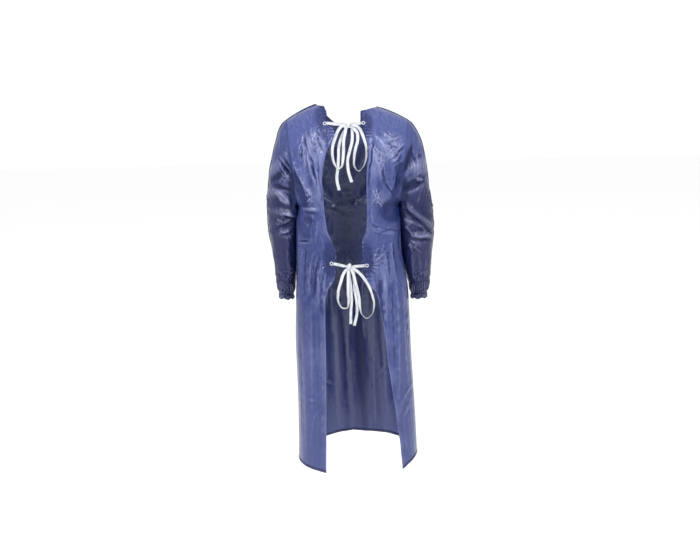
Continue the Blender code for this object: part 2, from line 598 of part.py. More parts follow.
def ribbon_points(route, width):
    # A smooth curve through the route, with the width turned out of the back's plane by its turn.
    places = np.array([row[:3] for row in route])
    turns = np.radians(column(route, ROUTE_COLUMNS, "turn").astype(float))
    keys = np.concatenate(([0.0], np.cumsum(np.linalg.norm(np.diff(places, axis=0), axis=1))))
    at = np.linspace(0, keys[-1], int(round(keys[-1] / TAPE_STEP)) + 1)
    axes = [cubic(keys, values, np.gradient(values, keys), at) for values in places.T]
    middle = np.stack(axes, axis=1)
    turn = np.interp(at, keys, turns)[:, None]
    ahead = np.gradient(middle, axis=0)
    ahead /= np.linalg.norm(ahead, axis=1, keepdims=True)
    flat = np.cross(ahead, (0.0, 1.0, 0.0))
    flat /= np.linalg.norm(flat, axis=1, keepdims=True)
    out = np.cross(flat, ahead)
    across = (flat * np.cos(turn) + out * np.sin(turn)) * width / 2
    return np.stack((middle - across, middle + across), axis=1)


def strip(name, points, collection, finish, wall):
    # A flat strip with its thickness shared evenly between its two faces.
    rows = points.shape[0]
    mesh = bpy.data.meshes.new(name)
    mesh.from_pydata(points.reshape(-1, 3).tolist(), [], grid_faces(rows, 2, False, False).tolist())
    made = placed(name, mesh, collection, finish)
    solidify = made.modifiers.new("wall", "SOLIDIFY")
    solidify.thickness = wall
    solidify.offset = 0.0
    return made


# The pieces

def make_front(collection, finish, hem_finish):
    halves = {}
    for side in ("left", "right"):
        shares = column_shares(side, -1, FRONT_COLUMNS // 2, 1.0)
        halves[side] = panel_half(side, -1, shares, FRONT_LEVELS, FRONT_UPPER)
    points = np.concatenate((halves["right"][:, :0:-1], halves["left"]), axis=1)
    points = fold_panel(points, FRONT_FOLDS, (), 2)
    cloth("front_panel", points[2:], collection, finish)
    cloth("hem_front", points[:2], collection, hem_finish, wall=HEM_WALL, outside=HEM_PROUD)


def make_back(side, collection, finish, hem_finish):
    shares = column_shares(side, 1, BACK_COLUMNS, EDGE_CROWDING)
    points = panel_half(side, 1, shares, BACK_LEVELS, BACK_UPPER)
    points = fold_panel(points, BACK_FOLDS[side], GATHERS[side], 1)
    cloth("back_panel_" + side, points[2:], collection, finish)
    cloth("hem_back_" + side, points[:2], collection, hem_finish, wall=HEM_WALL, outside=HEM_PROUD)
    return points


def make_sleeve(side, collection, finish):
    points = tube_points(side, SLEEVE_RINGS[side], SLEEVE_COLUMNS, SLEEVE_AROUND, True)
    angles = np.arange(SLEEVE_AROUND) / SLEEVE_AROUND * 2 * math.pi
    distance, y, z = armhole_ring(side, angles)
    across = 1 if side == "left" else -1
    first = np.stack((across * (distance + ARMHOLE_GAP), y, z), axis=1)
    points = fold_sleeve(np.concatenate((first[None], points)), SLEEVE_FOLDS[side])
    cloth("sleeve_" + side, points, collection, finish, closed=True)
    return points


def make_cuff(side, collection, finish):
    table = CUFF_RINGS[side]
    points = tube_points(side, table, CUFF_COLUMNS, CUFF_AROUND, False)
    ahead = points[1] - points[0]
    points[0] += ahead / np.linalg.norm(ahead, axis=1, keepdims=True) * CUFF_GAP
    wave = np.cos(CUFF_GATHERS * np.arange(CUFF_AROUND) / CUFF_AROUND * 2 * math.pi)
    height = column(table, CUFF_COLUMNS, "gather")[:, None] * wave
    points += outward_normals(points, True) * height[..., None]
    cloth("cuff_" + side, points, collection, finish, closed=True)


def make_weld(side, back, sleeve, collection, finish):
    # The flange stands on the shoulder seam and the sleeve's outer line, leaning back.
    on_shoulder = np.abs(back[-1, :, 0]) >= NECK_POINT_X
    shoulder = back[-1, on_shoulder]
    shoulder_out = np.tile((0.0, 0.0, 1.0), (len(shoulder), 1))
    over_arm = sleeve[1:-1, 0]
    over_arm_out = outward_normals(sleeve, True)[1:-1, 0]
    line = np.concatenate((shoulder, over_arm))
    out = np.concatenate((shoulder_out, over_arm_out))
    lean = WELD_LEAN * np.array((0.0, 1.0, 0.0)) + (1 - WELD_LEAN) * out
    lean /= np.linalg.norm(lean, axis=1, keepdims=True)
    foot = line + out * (SEAM_GAP + WELD_THICK)
    strip("weld_" + side, np.stack((foot, foot + lean * WELD_HEIGHT), axis=1), collection, finish,
          WELD_THICK)


def make_ring(ring, collection, finish):
    # A loop of tape lying on the film, on a tangent plane of the panel.
    name, side, x, z = (ring[key] for key in RING_COLUMNS)
    place = Vector((x, float(body_y(side, abs(x), np.array(z), 1)), z))
    rise = float(body_y(side, abs(x), np.array(z + SLOPE_STEP), 1)) - place.y
    run = float(body_y(side, abs(x + SLOPE_STEP), np.array(z), 1)) - place.y
    normal = Vector((-run / SLOPE_STEP, 1.0, -rise / SLOPE_STEP)).normalized()
    bpy.ops.mesh.primitive_torus_add(
        major_segments=RING_SEGMENTS[0],
        minor_segments=RING_SEGMENTS[1],
        major_radius=RING_RADIUS,
        minor_radius=RING_WIRE / 2)
    made = bpy.context.object
    made.name = name
    made.data.name = name
    made.location = place + normal * (RING_WIRE / 2 + RING_LIFT)
    made.rotation_euler = normal.to_track_quat("Z", "Y").to_euler()
    made.data.materials.append(finish)
    made.data.shade_smooth()
    move_to(made, collection)


def make_knot(name, place, size, collection, finish):
    bpy.ops.mesh.primitive_uv_sphere_add(
        segments=KNOT_SEGMENTS[0], ring_count=KNOT_SEGMENTS[1], radius=1.0)
    made = bpy.context.object
    made.name = name
    made.data.name = name
    made.scale = size
    made.location = place
    made.data.materials.append(finish)
    made.data.shade_smooth()
    move_to(made, collection)


def move_to(made, collection):
    for current in list(made.users_collection):
        current.objects.unlink(made)
    collection.objects.link(made)


def clear_scene():
    for old in list(bpy.data.objects):
        bpy.data.objects.remove(old, do_unlink=True)


def main():
    clear_scene()
    collection = bpy.data.collections.new(OBJECT_NAME)
    bpy.context.scene.collection.children.link(collection)
    body_film = film("body_film", FILM_COLOUR)
    sleeve_film = film("sleeve_film", SLEEVE_COLOUR)
    hem_film = film("hem_film", HEM_COLOUR)
    tape = material("woven_tape", TAPE_COLOUR, TAPE_ROUGHNESS)
    make_front(collection, body_film, hem_film)
    for side in ("left", "right"):
        back = make_back(side, collection, body_film, hem_film)
        sleeve = make_sleeve(side, collection, sleeve_film)
        make_cuff(side, collection, sleeve_film)
        make_weld(side, back, sleeve, collection, body_film)
    for ring in RINGS:
        make_ring(dict(zip(RING_COLUMNS, ring)), collection, tape)
    for name, (place, size) in KNOTS.items():
        make_knot(name, place, size, collection, tape)
    for name, route in TAPES.items():
        strip(name, ribbon_points(route, TAPE_WIDTH), collection, tape, TAPE_THICK)


main()
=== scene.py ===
# Sleeved chemical apron of glossy blue film in its worn form: the look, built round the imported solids.
# Metres, +Z up. The garment's front faces -Y and its left side is +X. Tables of rows, of rings and of
# sections are in millimetres and degrees.

import math

import bpy
import numpy as np
from mathutils import Matrix, Vector


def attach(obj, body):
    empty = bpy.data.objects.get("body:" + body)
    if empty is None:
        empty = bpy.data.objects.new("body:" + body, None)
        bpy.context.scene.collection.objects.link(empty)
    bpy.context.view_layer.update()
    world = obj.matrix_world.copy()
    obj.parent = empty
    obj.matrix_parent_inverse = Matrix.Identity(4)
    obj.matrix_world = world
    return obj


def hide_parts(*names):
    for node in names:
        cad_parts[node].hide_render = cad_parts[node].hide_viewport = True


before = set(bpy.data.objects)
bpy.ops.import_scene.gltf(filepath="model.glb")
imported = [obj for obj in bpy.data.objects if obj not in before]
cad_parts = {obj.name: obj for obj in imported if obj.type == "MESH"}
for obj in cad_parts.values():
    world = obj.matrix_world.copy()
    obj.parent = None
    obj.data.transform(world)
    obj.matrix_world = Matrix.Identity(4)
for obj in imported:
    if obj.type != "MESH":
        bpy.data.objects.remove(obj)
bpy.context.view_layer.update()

print("frame loaded:", len(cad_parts), "solids")

for oldLight in [item for item in bpy.data.objects if item.type in {"LIGHT", "CAMERA"}]:
    bpy.data.objects.remove(oldLight, do_unlink=True)


# Camera

cameraSettings = {"place": (0.0006, 2.77, -0.074), "lens": 41.14, "sensor": 36.0, "pitch": 10.97, "roll": 1.2}


def makeCamera(settings):
    # Looks along -Y, tipped down by the pitch and then turned about its line of sight by the roll.
    pitch, roll = math.radians(settings["pitch"]), math.radians(settings["roll"])
    level = Vector((-1.0, 0.0, 0.0))
    upright = Vector((0.0, -math.sin(pitch), math.cos(pitch)))
    back = Vector((0.0, math.cos(pitch), math.sin(pitch)))
    right = level * math.cos(roll) - upright * math.sin(roll)
    up = level * math.sin(roll) + upright * math.cos(roll)
    data = bpy.data.cameras.new("view")
    data.lens = settings["lens"]
    data.sensor_width = settings["sensor"]
    made = bpy.data.objects.new("view", data)
    turned = Matrix((right, up, back)).transposed().to_4x4()
    made.matrix_world = Matrix.Translation(settings["place"]) @ turned
    bpy.context.collection.objects.link(made)
    bpy.context.scene.camera = made


makeCamera(cameraSettings)


# Shader maths

class Signal:
    # One output of a node. Arithmetic on it adds Math nodes beside it.
    def __init__(self, finish, socket):
        self.finish = finish
        self.socket = socket

    def maths(self, operation, first, second):
        return self.finish.node("ShaderNodeMath", {"operation": operation}, {0: first, 1: second})

    def __add__(self, other):
        return self.maths("ADD", self, other)

    def __radd__(self, other):
        return self.maths("ADD", other, self)

    def __sub__(self, other):
        return self.maths("SUBTRACT", self, other)

    def __rsub__(self, other):
        return self.maths("SUBTRACT", other, self)

    def __mul__(self, other):
        return self.maths("MULTIPLY", self, other)

    def __rmul__(self, other):
        return self.maths("MULTIPLY", other, self)

    def clipped(self):
        return self.finish.node("ShaderNodeClamp", {}, {"Value": self})


class Finish:
    # A material and the one way its nodes are made.
    def __init__(self, name, colour):
        self.made = bpy.data.materials.new(name)
        self.made.use_nodes = True
        self.made.diffuse_color = (*colour, 1.0)
        self.tree = self.made.node_tree
        self.tree.nodes.clear()

    def node(self, kind, settings, sockets, output=0):
        made = self.tree.nodes.new(kind)
        for key, value in settings.items():
            setattr(made, key, value)
        for key, value in sockets.items():
            if isinstance(value, Signal):
                self.tree.links.new(value.socket, made.inputs[key])
            else:
                made.inputs[key].default_value = value
        return Signal(self, made.outputs[output]) if made.outputs else None

    def mixed(self, share, first, second):
        return self.node("ShaderNodeMix", {"data_type": "RGBA"}, {0: share, 6: first, 7: second}, 2)

    def fact(self, name):
        return self.node("ShaderNodeAttribute", {"attribute_name": name}, {}, "Fac")

    def place(self):
        return self.node("ShaderNodeTexCoord", {}, {}, "Object")

    def lying(self):
        return self.node("ShaderNodeUVMap", {"uv_map": "cloth"}, {})

    def noise(self, vector, scale, detail=2.0, rough=0.5, output=0):
        sockets = {"Vector": vector, "Scale": scale, "Detail": detail, "Roughness": rough}
        return self.node("ShaderNodeTexNoise", {}, sockets, output)

    def vectors(self, operation, first, second):
        return self.node("ShaderNodeVectorMath", {"operation": operation}, {0: first, 1: second})

    def bands(self, vector, direction, scale, distortion):
        settings = {"wave_type": "BANDS", "bands_direction": direction}
        sockets = {"Vector": vector, "Scale": scale, "Distortion": distortion}
        return self.node("ShaderNodeTexWave", settings, sockets)

    def bump(self, strength, distance, height):
        return self.node("ShaderNodeBump", {}, {"Strength": strength, "Distance": distance, "Height": height})

    def end(self, sockets):
        shader = self.node("ShaderNodeBsdfPrincipled", {}, sockets)
        self.node("ShaderNodeOutputMaterial", {}, {"Surface": shader})
        return self.made


# Film colours: own colour, painted light near the shoulders, painted shade in folds, painted highlight.
filmLooks = {
    "body": {"name": "body_film", "lit": (0.033, 0.045, 0.146), "high": (0.044, 0.058, 0.178),
             "shaded": (0.003, 0.010, 0.068), "paintedHighlight": (0.220, 0.245, 0.400),
             "rough": 0.22, "crinkle": 0.70, "ior": 1.37, "coat": 0.10},
    "sleeve": {"name": "sleeve_film", "lit": (0.013, 0.015, 0.060), "high": (0.036, 0.048, 0.148),
               "shaded": (0.002, 0.006, 0.040), "paintedHighlight": (0.160, 0.170, 0.290),
               "rough": 0.22, "crinkle": 0.75, "ior": 1.32, "coat": 0.05},
    "hem": {"name": "hem_film", "lit": (0.016, 0.018, 0.070), "high": (0.016, 0.018, 0.070),
            "shaded": (0.005, 0.006, 0.034), "paintedHighlight": (0.120, 0.130, 0.280),
            "rough": 0.32, "crinkle": 0.40, "ior": 1.37, "coat": 0.05},
    "weld": {"name": "weld_film", "lit": (0.040, 0.052, 0.150), "high": (0.046, 0.058, 0.160),
             "shaded": (0.008, 0.016, 0.080), "paintedHighlight": (0.230, 0.240, 0.330),
             "rough": 0.46, "crinkle": 0.06, "ior": 1.25, "coat": 0.0},
}
filmPattern = {
    "cloud": 14.0, "fine": 190.0, "cells": 75.0, "bends": 45.0, "bend": (0.012, 0.012, 0.012),
    "drawn": (260.0, 9.0, 1.0), "paintedLightFrom": -0.34, "paintedLightOver": 0.16, "bump": 0.0009, "coatRough": 0.10,
    "cloudShade": 0.22, "cloudHighlight": 0.12, "fineHighlight": 0.10, "cellEdge": 5.0, "patchFrom": 0.46,
    "patchEdge": 6.0, "ridges": 0.5, "grain": 0.22, "lines": 0.45, "roughFrom": 0.10, "cloudRough": 0.16,
    "fineRough": 0.08, "foldRough": 0.30,
}


def filmFinish(look, pattern):
    # Blue film: painted shade where it lies in folds, painted highlight where one layer catches light,
    # painted light towards the shoulders, with faint crinkle from bent cells, fine grain and lines drawn down
    # the cloth.
    film = Finish(look["name"], look["lit"])
    place, fold = film.place(), film.fact("fold")
    cloud = film.noise(place, pattern["cloud"], 3.0, 0.55)
    fine = film.noise(place, pattern["fine"], 3.0, 0.6)
    # Painted light: lighter towards the shoulders, where the film tilts up to the lamps.
    level = film.node("ShaderNodeSeparateXYZ", {}, {"Vector": place}, "Z")
    rise = ((level - pattern["paintedLightFrom"]) * (1 / pattern["paintedLightOver"]) + (cloud - 0.5)).clipped()
    lit = film.mixed(rise, (*look["lit"], 1.0), (*look["high"], 1.0))
    # Painted shade: the darker colour in folds, creases and shadowed spots, with a little random tone.
    inShadow = (fold + (cloud - 0.5) * pattern["cloudShade"]).clipped()
    colour = film.mixed(inShadow, lit, (*look["shaded"], 1.0))
    # Painted highlight: the pale colour where one layer of film catches the light.
    highlightShare = (film.fact("paintedHighlight") + (fine - 0.5) * pattern["fineHighlight"]
            + (cloud - 0.5) * pattern["cloudHighlight"]).clipped()
    drawn = film.noise(film.vectors("MULTIPLY", film.lying(), pattern["drawn"]), 1.0)
    sway = film.vectors("MULTIPLY", film.noise(place, pattern["bends"], output="Color"), pattern["bend"])
    cells = film.node("ShaderNodeTexVoronoi", {"feature": "DISTANCE_TO_EDGE"},
                      {"Vector": film.vectors("ADD", place, sway), "Scale": pattern["cells"]}, "Distance")
    patches = ((cloud - pattern["patchFrom"]) * pattern["patchEdge"]).clipped()
    ridges = (cells * pattern["cellEdge"]).clipped() * patches
    height = ridges * pattern["ridges"] + fine * pattern["grain"] + drawn * pattern["lines"]
    rough = cloud * pattern["cloudRough"] + fine * pattern["fineRough"]
    rough = rough + (look["rough"] - pattern["roughFrom"]) + fold * pattern["foldRough"]
    return film.end({
        "Base Color": film.mixed(highlightShare, colour, (*look["paintedHighlight"], 1.0)),
        "Roughness": rough.clipped(),
        "Coat Weight": (1.0 - fold.clipped()) * look["coat"],
        "Coat Roughness": pattern["coatRough"],
        "IOR": look["ior"],
        "Normal": film.bump(look["crinkle"], pattern["bump"], height),
    })


tapeLook = {
    "shown": (0.86, 0.88, 0.89), "lit": (0.50, 0.515, 0.53, 1.0), "low": (0.20, 0.225, 0.27, 1.0),
    "soft": 90.0, "twill": (520.0, 0.6), "twillShare": 0.6, "threads": (380.0, 0.3), "threadShare": 0.4,
    "weaveLow": 0.26, "softLow": 0.45, "foldLow": 0.9, "rough": 0.82, "sheen": 0.25, "bump": (0.5, 0.0004),
}


def tapeFinish(look):
    # White woven tape: a fine twill across its width, soft edges, a little grey in the low spots, painted
    # shade in folds.
    tape = Finish("woven_tape", look["shown"])
    lying = tape.lying()
    soft = tape.noise(tape.place(), look["soft"], 3.0)
    weave = (tape.bands(lying, "DIAGONAL", *look["twill"]) * look["twillShare"]
             + tape.bands(lying, "X", *look["threads"]) * look["threadShare"])
    low = (1.0 - weave) * look["weaveLow"] + (soft - 0.5) * look["softLow"]
    # Painted shade from the tape's folds greys it further.
    low = (low + tape.fact("fold") * look["foldLow"]).clipped()
    colour = tape.mixed(low, look["lit"], look["low"])
    bump = tape.bump(*look["bump"], weave + soft)
    return tape.end({"Base Color": colour, "Roughness": look["rough"], "Sheen Weight": look["sheen"],
                     "Normal": bump})


finishes = {kind: filmFinish(look, filmPattern) for kind, look in filmLooks.items()}
finishes["tape"] = tapeFinish(tapeLook)
print("finishes made:", len(finishes))


# Curves, noise and meshes shared by all pieces

sides = {"left": 1, "right": -1}  # the sign of x on each side
latticeCells = (61, 67)  # how far the seeded noise runs both ways before it repeats


def cubicThrough(keys, values, slopes, at):
    # Hermite curve: through every key's value, with the slope given at each.
    cell = np.clip(np.searchsorted(keys, at, side="right") - 1, 0, len(keys) - 2)
    width = np.diff(keys)[cell]
    t = (at - keys[cell]) / width
    start = values[cell] * (2 * t ** 3 - 3 * t ** 2 + 1)
    end = values[cell + 1] * (3 * t ** 2 - 2 * t ** 3)
    bend = slopes[cell] * (t ** 3 - 2 * t ** 2 + t) + slopes[cell + 1] * (t ** 3 - t ** 2)
    return start + end + width * bend


def curveThrough(keys, values, at):
    # The same curve with slopes that never overshoot: the harmonic mean of the rises on both sides.
    keys, values = np.asarray(keys, float), np.asarray(values, float)
    rises = np.diff(values) / np.diff(keys)
    sameWay = rises[:-1] * rises[1:] > 0
    total = np.where(sameWay, rises[:-1] + rises[1:], 1.0)
    middle = np.where(sameWay, 2 * rises[:-1] * rises[1:] / total, 0.0)
    slopes = np.concatenate((rises[:1], middle, rises[-1:]))
    return cubicThrough(keys, values, slopes, np.clip(at, keys[0], keys[-1]))


def smoothStep(low, high, value):
    # 0 below low, 1 above high, and 3tt - 2ttt between them.
    t = np.clip((value - low) / (high - low), 0.0, 1.0)
    return t * t * (3 - 2 * t)


def bell(value, width):
    # 1 at 0, falling off both ways as exp(-tt) of the value in widths.
    return np.exp(-(value / width) ** 2)


def latticeNoise(u, v, seed):
    # Seeded values from -1 to 1 on a unit lattice, joined by smooth steps both ways.
    table = np.random.default_rng(seed).uniform(-1, 1, latticeCells)
    i, j = np.floor(u).astype(int), np.floor(v).astype(int)
    su, sv = smoothStep(0, 1, u - i), smoothStep(0, 1, v - j)
    low, high = (table[i % latticeCells[0], (j + step) % latticeCells[1]] * (1 - su)
                 + table[(i + 1) % latticeCells[0], (j + step) % latticeCells[1]] * su for step in (0, 1))
    return low * (1 - sv) + high * sv


def facets(u, v, seed, waves=6):
    # Flat facets: triangle waves in seeded directions, bent and broken off by slow noise, summed.
    rng = np.random.default_rng(seed)
    total = np.zeros(np.broadcast(u, v).shape)
    for wave in range(waves):
        angle, stretch, shift = rng.uniform(0, math.pi), rng.uniform(0.7, 1.9), rng.uniform(0, 9)
        across = (u * math.cos(angle) + v * math.sin(angle)) / stretch + shift
        across = across + 0.45 * latticeNoise(u * 0.5 + shift, v * 0.5, seed + 7 * wave)
        zigzag = 4 * np.abs(across - np.floor(across + 0.5)) - 1
        strength = 0.5 + 0.5 * latticeNoise(u * 0.35, v * 0.35 + shift, seed + 11 * wave + 3)
        total += zigzag * stretch * strength
    return total / math.sqrt(waves)


def crumple(u, v, seed):
    # Crushed film: how far the nearest of seeded points is, one in each cell of a bent lattice, so that sharp
    # ridges stand where two of them are equally near.
    table = np.random.default_rng(seed).uniform(0, 1, (*latticeCells, 3))
    bentU = u + 0.5 * latticeNoise(u * 0.6, v * 0.6, seed + 1)
    bentV = v + 0.5 * latticeNoise(u * 0.6 + 7, v * 0.6, seed + 2)
    i, j = np.floor(bentU).astype(int), np.floor(bentV).astype(int)
    nearest = np.full(i.shape, 9.0)
    for di in (-1, 0, 1):
        for dj in (-1, 0, 1):
            point = table[(i + di) % latticeCells[0], (j + dj) % latticeCells[1]]
            away = np.hypot(bentU - i - di - point[..., 0], bentV - j - dj - point[..., 1])
            nearest = np.minimum(nearest, away + 0.35 * point[..., 2])
    return 2.2 * (nearest - 0.60)


def normalsOf(points, closed):
    # Cross products of the grid's two directions, turned to point away from each row's middle.
    down = np.gradient(points, axis=0)
    if closed:
        along = np.roll(points, -1, axis=1) - np.roll(points, 1, axis=1)
        middle = points.mean(axis=1, keepdims=True)
    else:
        along = np.gradient(points, axis=1)
        middle = points * (0, 0, 1)
    normals = np.cross(along, down)
    normals /= np.linalg.norm(normals, axis=2, keepdims=True) + 1e-12
    return -normals if np.sum(normals * (points - middle)) < 0 else normals


def lengthsFromFirst(points, axis):
    # Running length of the lines along one axis, from the first point of each.
    steps = np.linalg.norm(np.diff(points, axis=axis), axis=-1)
    start = np.zeros_like(np.take(steps, [0], axis=axis))
    return np.cumsum(np.concatenate((start, steps), axis=axis), axis=axis)


def lengthsFromLast(points, axis):
    # The same from the last point of each.
    return np.flip(lengthsFromFirst(np.flip(points, axis), axis), axis)


def softened(values, reach, closed=False):
    # Mean of the neighbours within reach on both axes of the grid.
    for axis in (0, 1):
        mode = "wrap" if closed and axis == 1 else "edge"
        widths = [(reach, reach) if axis == own else (0, 0) for own in (0, 1)]
        padded = np.pad(values, widths, mode=mode)
        size = values.shape[axis]
        parts = [np.take(padded, range(step, step + size), axis=axis) for step in range(2 * reach + 1)]
        values = sum(parts) / len(parts)
    return values


def gridFaces(rows, columns, closed):
    # Quads between neighbouring rows and columns, the last column joined to the first when closed.
    row, step = np.meshgrid(np.arange(rows - 1), np.arange(columns - (not closed)), indexing="ij")
    first = row * columns + step
    second = row * columns + (step + 1) % columns
    return np.stack((first, second, second + columns, first + columns), axis=2).reshape(-1, 4)


def clothMap(grid, quads, closed):
    # UV of each quad's corners in metres: along its row from the middle column, and down the grid.
    columns = grid.shape[1]
    u = lengthsFromFirst(np.concatenate((grid, grid[:, :1]), axis=1) if closed else grid, 1)
    u = u - u[:, u.shape[1] // 2][:, None]
    v = np.broadcast_to(lengthsFromFirst(grid, 0).mean(axis=1)[:, None], u.shape)
    row, step = quads // columns, quads % columns
    if closed:
        step = np.where((step == 0) & (step.max(axis=1) == columns - 1)[:, None], columns, step)
    return np.stack((u[row, step], v[row, step]), axis=2).reshape(-1, 2)


def makeMesh(name, parts, kind):
    # Joins grids of points (and the facts at them) into one mesh with a UV map in metres.
    points, faces, corners, facts = [], [], [], {"fold": [], "paintedHighlight": []}
    base = 0
    for part in parts:
        grid, closed = part["points"], part.get("closed", False)
        rows, columns = grid.shape[:2]
        normals = part["normals"] if "normals" in part else normalsOf(grid, closed)
        flat, quads = grid.reshape(-1, 3), gridFaces(rows, columns, closed)
        facing = np.cross(flat[quads[:, 1]] - flat[quads[:, 0]], flat[quads[:, 3]] - flat[quads[:, 0]])
        if np.sum(facing * normals.reshape(-1, 3)[quads[:, 0]]) < 0:
            quads = quads[:, ::-1]
        corners.append(clothMap(grid, quads, closed))
        points.append(flat)
        faces.append(quads + base)
        base += rows * columns
        for key in facts:
            facts[key].append(np.broadcast_to(part.get(key, 0.0), (rows, columns)).reshape(-1))
    mesh = bpy.data.meshes.new(name)
    mesh.from_pydata(np.concatenate(points).tolist(), [], np.concatenate(faces).tolist())
    layer = mesh.uv_layers.new(name="cloth")
    layer.data.foreach_set("uv", np.concatenate(corners).astype(np.float32).ravel())
    for key, values in facts.items():
        fact = mesh.attributes.new(key, "FLOAT", "POINT")
        fact.data.foreach_set("value", np.concatenate(values).astype(np.float32))
    mesh.materials.append(finishes[kind])
    mesh.shade_smooth()
    return mesh


def makePiece(name, parts, kind, nodes, wall=0.0, outside=0.0):
    # A piece that rides on the part and stands for its solids.
    made = bpy.data.objects.new(name, makeMesh(name, parts, kind))
    bpy.context.collection.objects.link(made)
    if wall:
        thick = made.modifiers.new("wall", "SOLIDIFY")
        thick.thickness = wall
        thick.offset = 2 * outside - 1
        thick.use_quality_normals = True
    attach(made, "root")
    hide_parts(*nodes)
    return made


# Tapes: from each ring to the knot, out and back in a loop, and down as a tail

tapeSettings = {
    "width": 0.010, "wall": 0.0008, "step": 0.0025, "across": 8, "arch": 0.0007,
    "pinch": 0.34, "pinched": (0.004, 0.020), "ripple": 0.0009, "rippleLength": 0.016, "pleat": 0.0011,
}
knotPlaces = {"neck": (-0.0050, 0.1075, -0.0720), "waist": (0.0030, 0.1060, -0.5440)}
tapeRoutes = {
    "neck_left": {
        "lead": ((65.6, 99.4, -67, 0), (56, 103.8, -68.2, 0), (25, 106, -70.7, 0), (2.4, 107, -72, 0),
            (-5, 107.8, -72.2, 0)),
        "loop": ((1.6, 109.2, -72.8, 0), (15, 110.2, -76, 0), (27, 114.4, -88, 0), (38, 116.8, -112, 10),
            (48, 119, -140, 20), (50, 121, -170, 35), (43, 122.8, -200, 60), (31, 124, -216, 85),
            (21, 124, -208, 60), (15, 122.6, -182, 20), (13, 120.6, -156, 5), (12, 118.2, -126, 0),
            (6, 114.2, -98, 0), (1, 110.7, -77.4, 0), (-4, 109, -71.5, 0)),
        "tail": ((1, 108.1, -78.7, 0), (5, 108.5, -88, 0), (15, 109, -106, 0), (27, 110.2, -140, 0),
            (30, 111.4, -178, 0), (33, 112.2, -214, 0), (37, 113, -250, 20), (30, 113.4, -286, 10))},
    "neck_right": {
        "lead": ((-46.9, 100.2, -67.8, 0), (-41, 103, -69.6, 0), (-24, 105.8, -71.4, 0),
            (-12.4, 107, -72, 0), (-5, 108, -71.8, 0)),
        "loop": ((-11.8, 109.2, -72.6, 0), (-25, 109.8, -75, 0), (-40, 111.4, -86, 0),
            (-52, 113.6, -112, 15), (-61, 115.4, -144, 35), (-61, 116.4, -178, 60), (-50, 117.4, -210, 80),
            (-36, 118, -223.5, 90), (-23, 118, -209, 70), (-21, 117.2, -182, 40), (-27, 115.8, -150, 20),
            (-34, 114.2, -124, 10), (-32, 112.6, -98, 0), (-19, 112, -83.5, 0), (-8.4, 111.4, -75.4, 0),
            (-5, 109.2, -71.2, 0)),
        "tail": ((-13, 108, -78.1, 0), (-17, 109, -104, 0), (-15, 111, -130, 0), (-7, 112.6, -158, 0),
            (0, 113.8, -187, 10), (-1, 114.8, -220, 10), (-12, 115.6, -260, 0))},
    "waist_left": {
        "lead": ((55.3, 99.7, -534.5, 0), (40, 102.2, -537.5, 0), (26, 104.2, -541, 0),
            (10.4, 105.5, -543.5, 0), (3, 106.2, -544.2, 0)),
        "loop": ((8, 108, -549, 0), (20, 110, -564, 0), (32, 113, -596, 10), (42, 115, -633, 25),
            (41, 117, -664, 55), (28, 118.4, -685, 85), (13, 118.6, -686, 85), (7, 117.4, -664, 40),
            (7.5, 115.6, -632, 10), (7, 113.2, -596, 0), (4, 109.4, -549.4, 0), (3, 107.2, -544, 0)),
        "tail": ((4, 106.2, -551.5, 0), (2, 108, -584, 0), (-2, 110, -620, 0), (-3, 112, -660, 10),
            (0, 113.6, -700, 20), (1, 114.4, -742, 0))},
    "waist_right": {
        "lead": ((-50.8, 99.7, -543, 0), (-36, 102.4, -543.8, 0), (-21, 104.3, -544.2, 0),
            (-4.4, 105.5, -544.4, 0), (3, 106.4, -543.8, 0)),
        "loop": ((-3.8, 108, -547, 0), (-22, 110, -558, 0), (-42, 112.4, -578, 10), (-60, 115, -606, 25),
            (-73, 117.2, -640, 40), (-79, 119, -680, 60), (-70, 120.2, -710, 80), (-54, 120.8, -721, 90),
            (-39, 120.4, -710, 75), (-32, 119.2, -682, 40), (-29, 117, -648, 20), (-20, 114, -608, 10),
            (-7, 111.7, -559, 0), (-1.4, 111, -548.4, 0), (3, 108, -543.2, 0)),
        "tail": ((-7, 106.4, -549.6, 0), (-13, 108.4, -586, 0), (-15, 111, -624, 0), (-21, 112.6, -666, 10),
            (-21, 114, -702, 25), (-11, 115.2, -748, 0))},
}


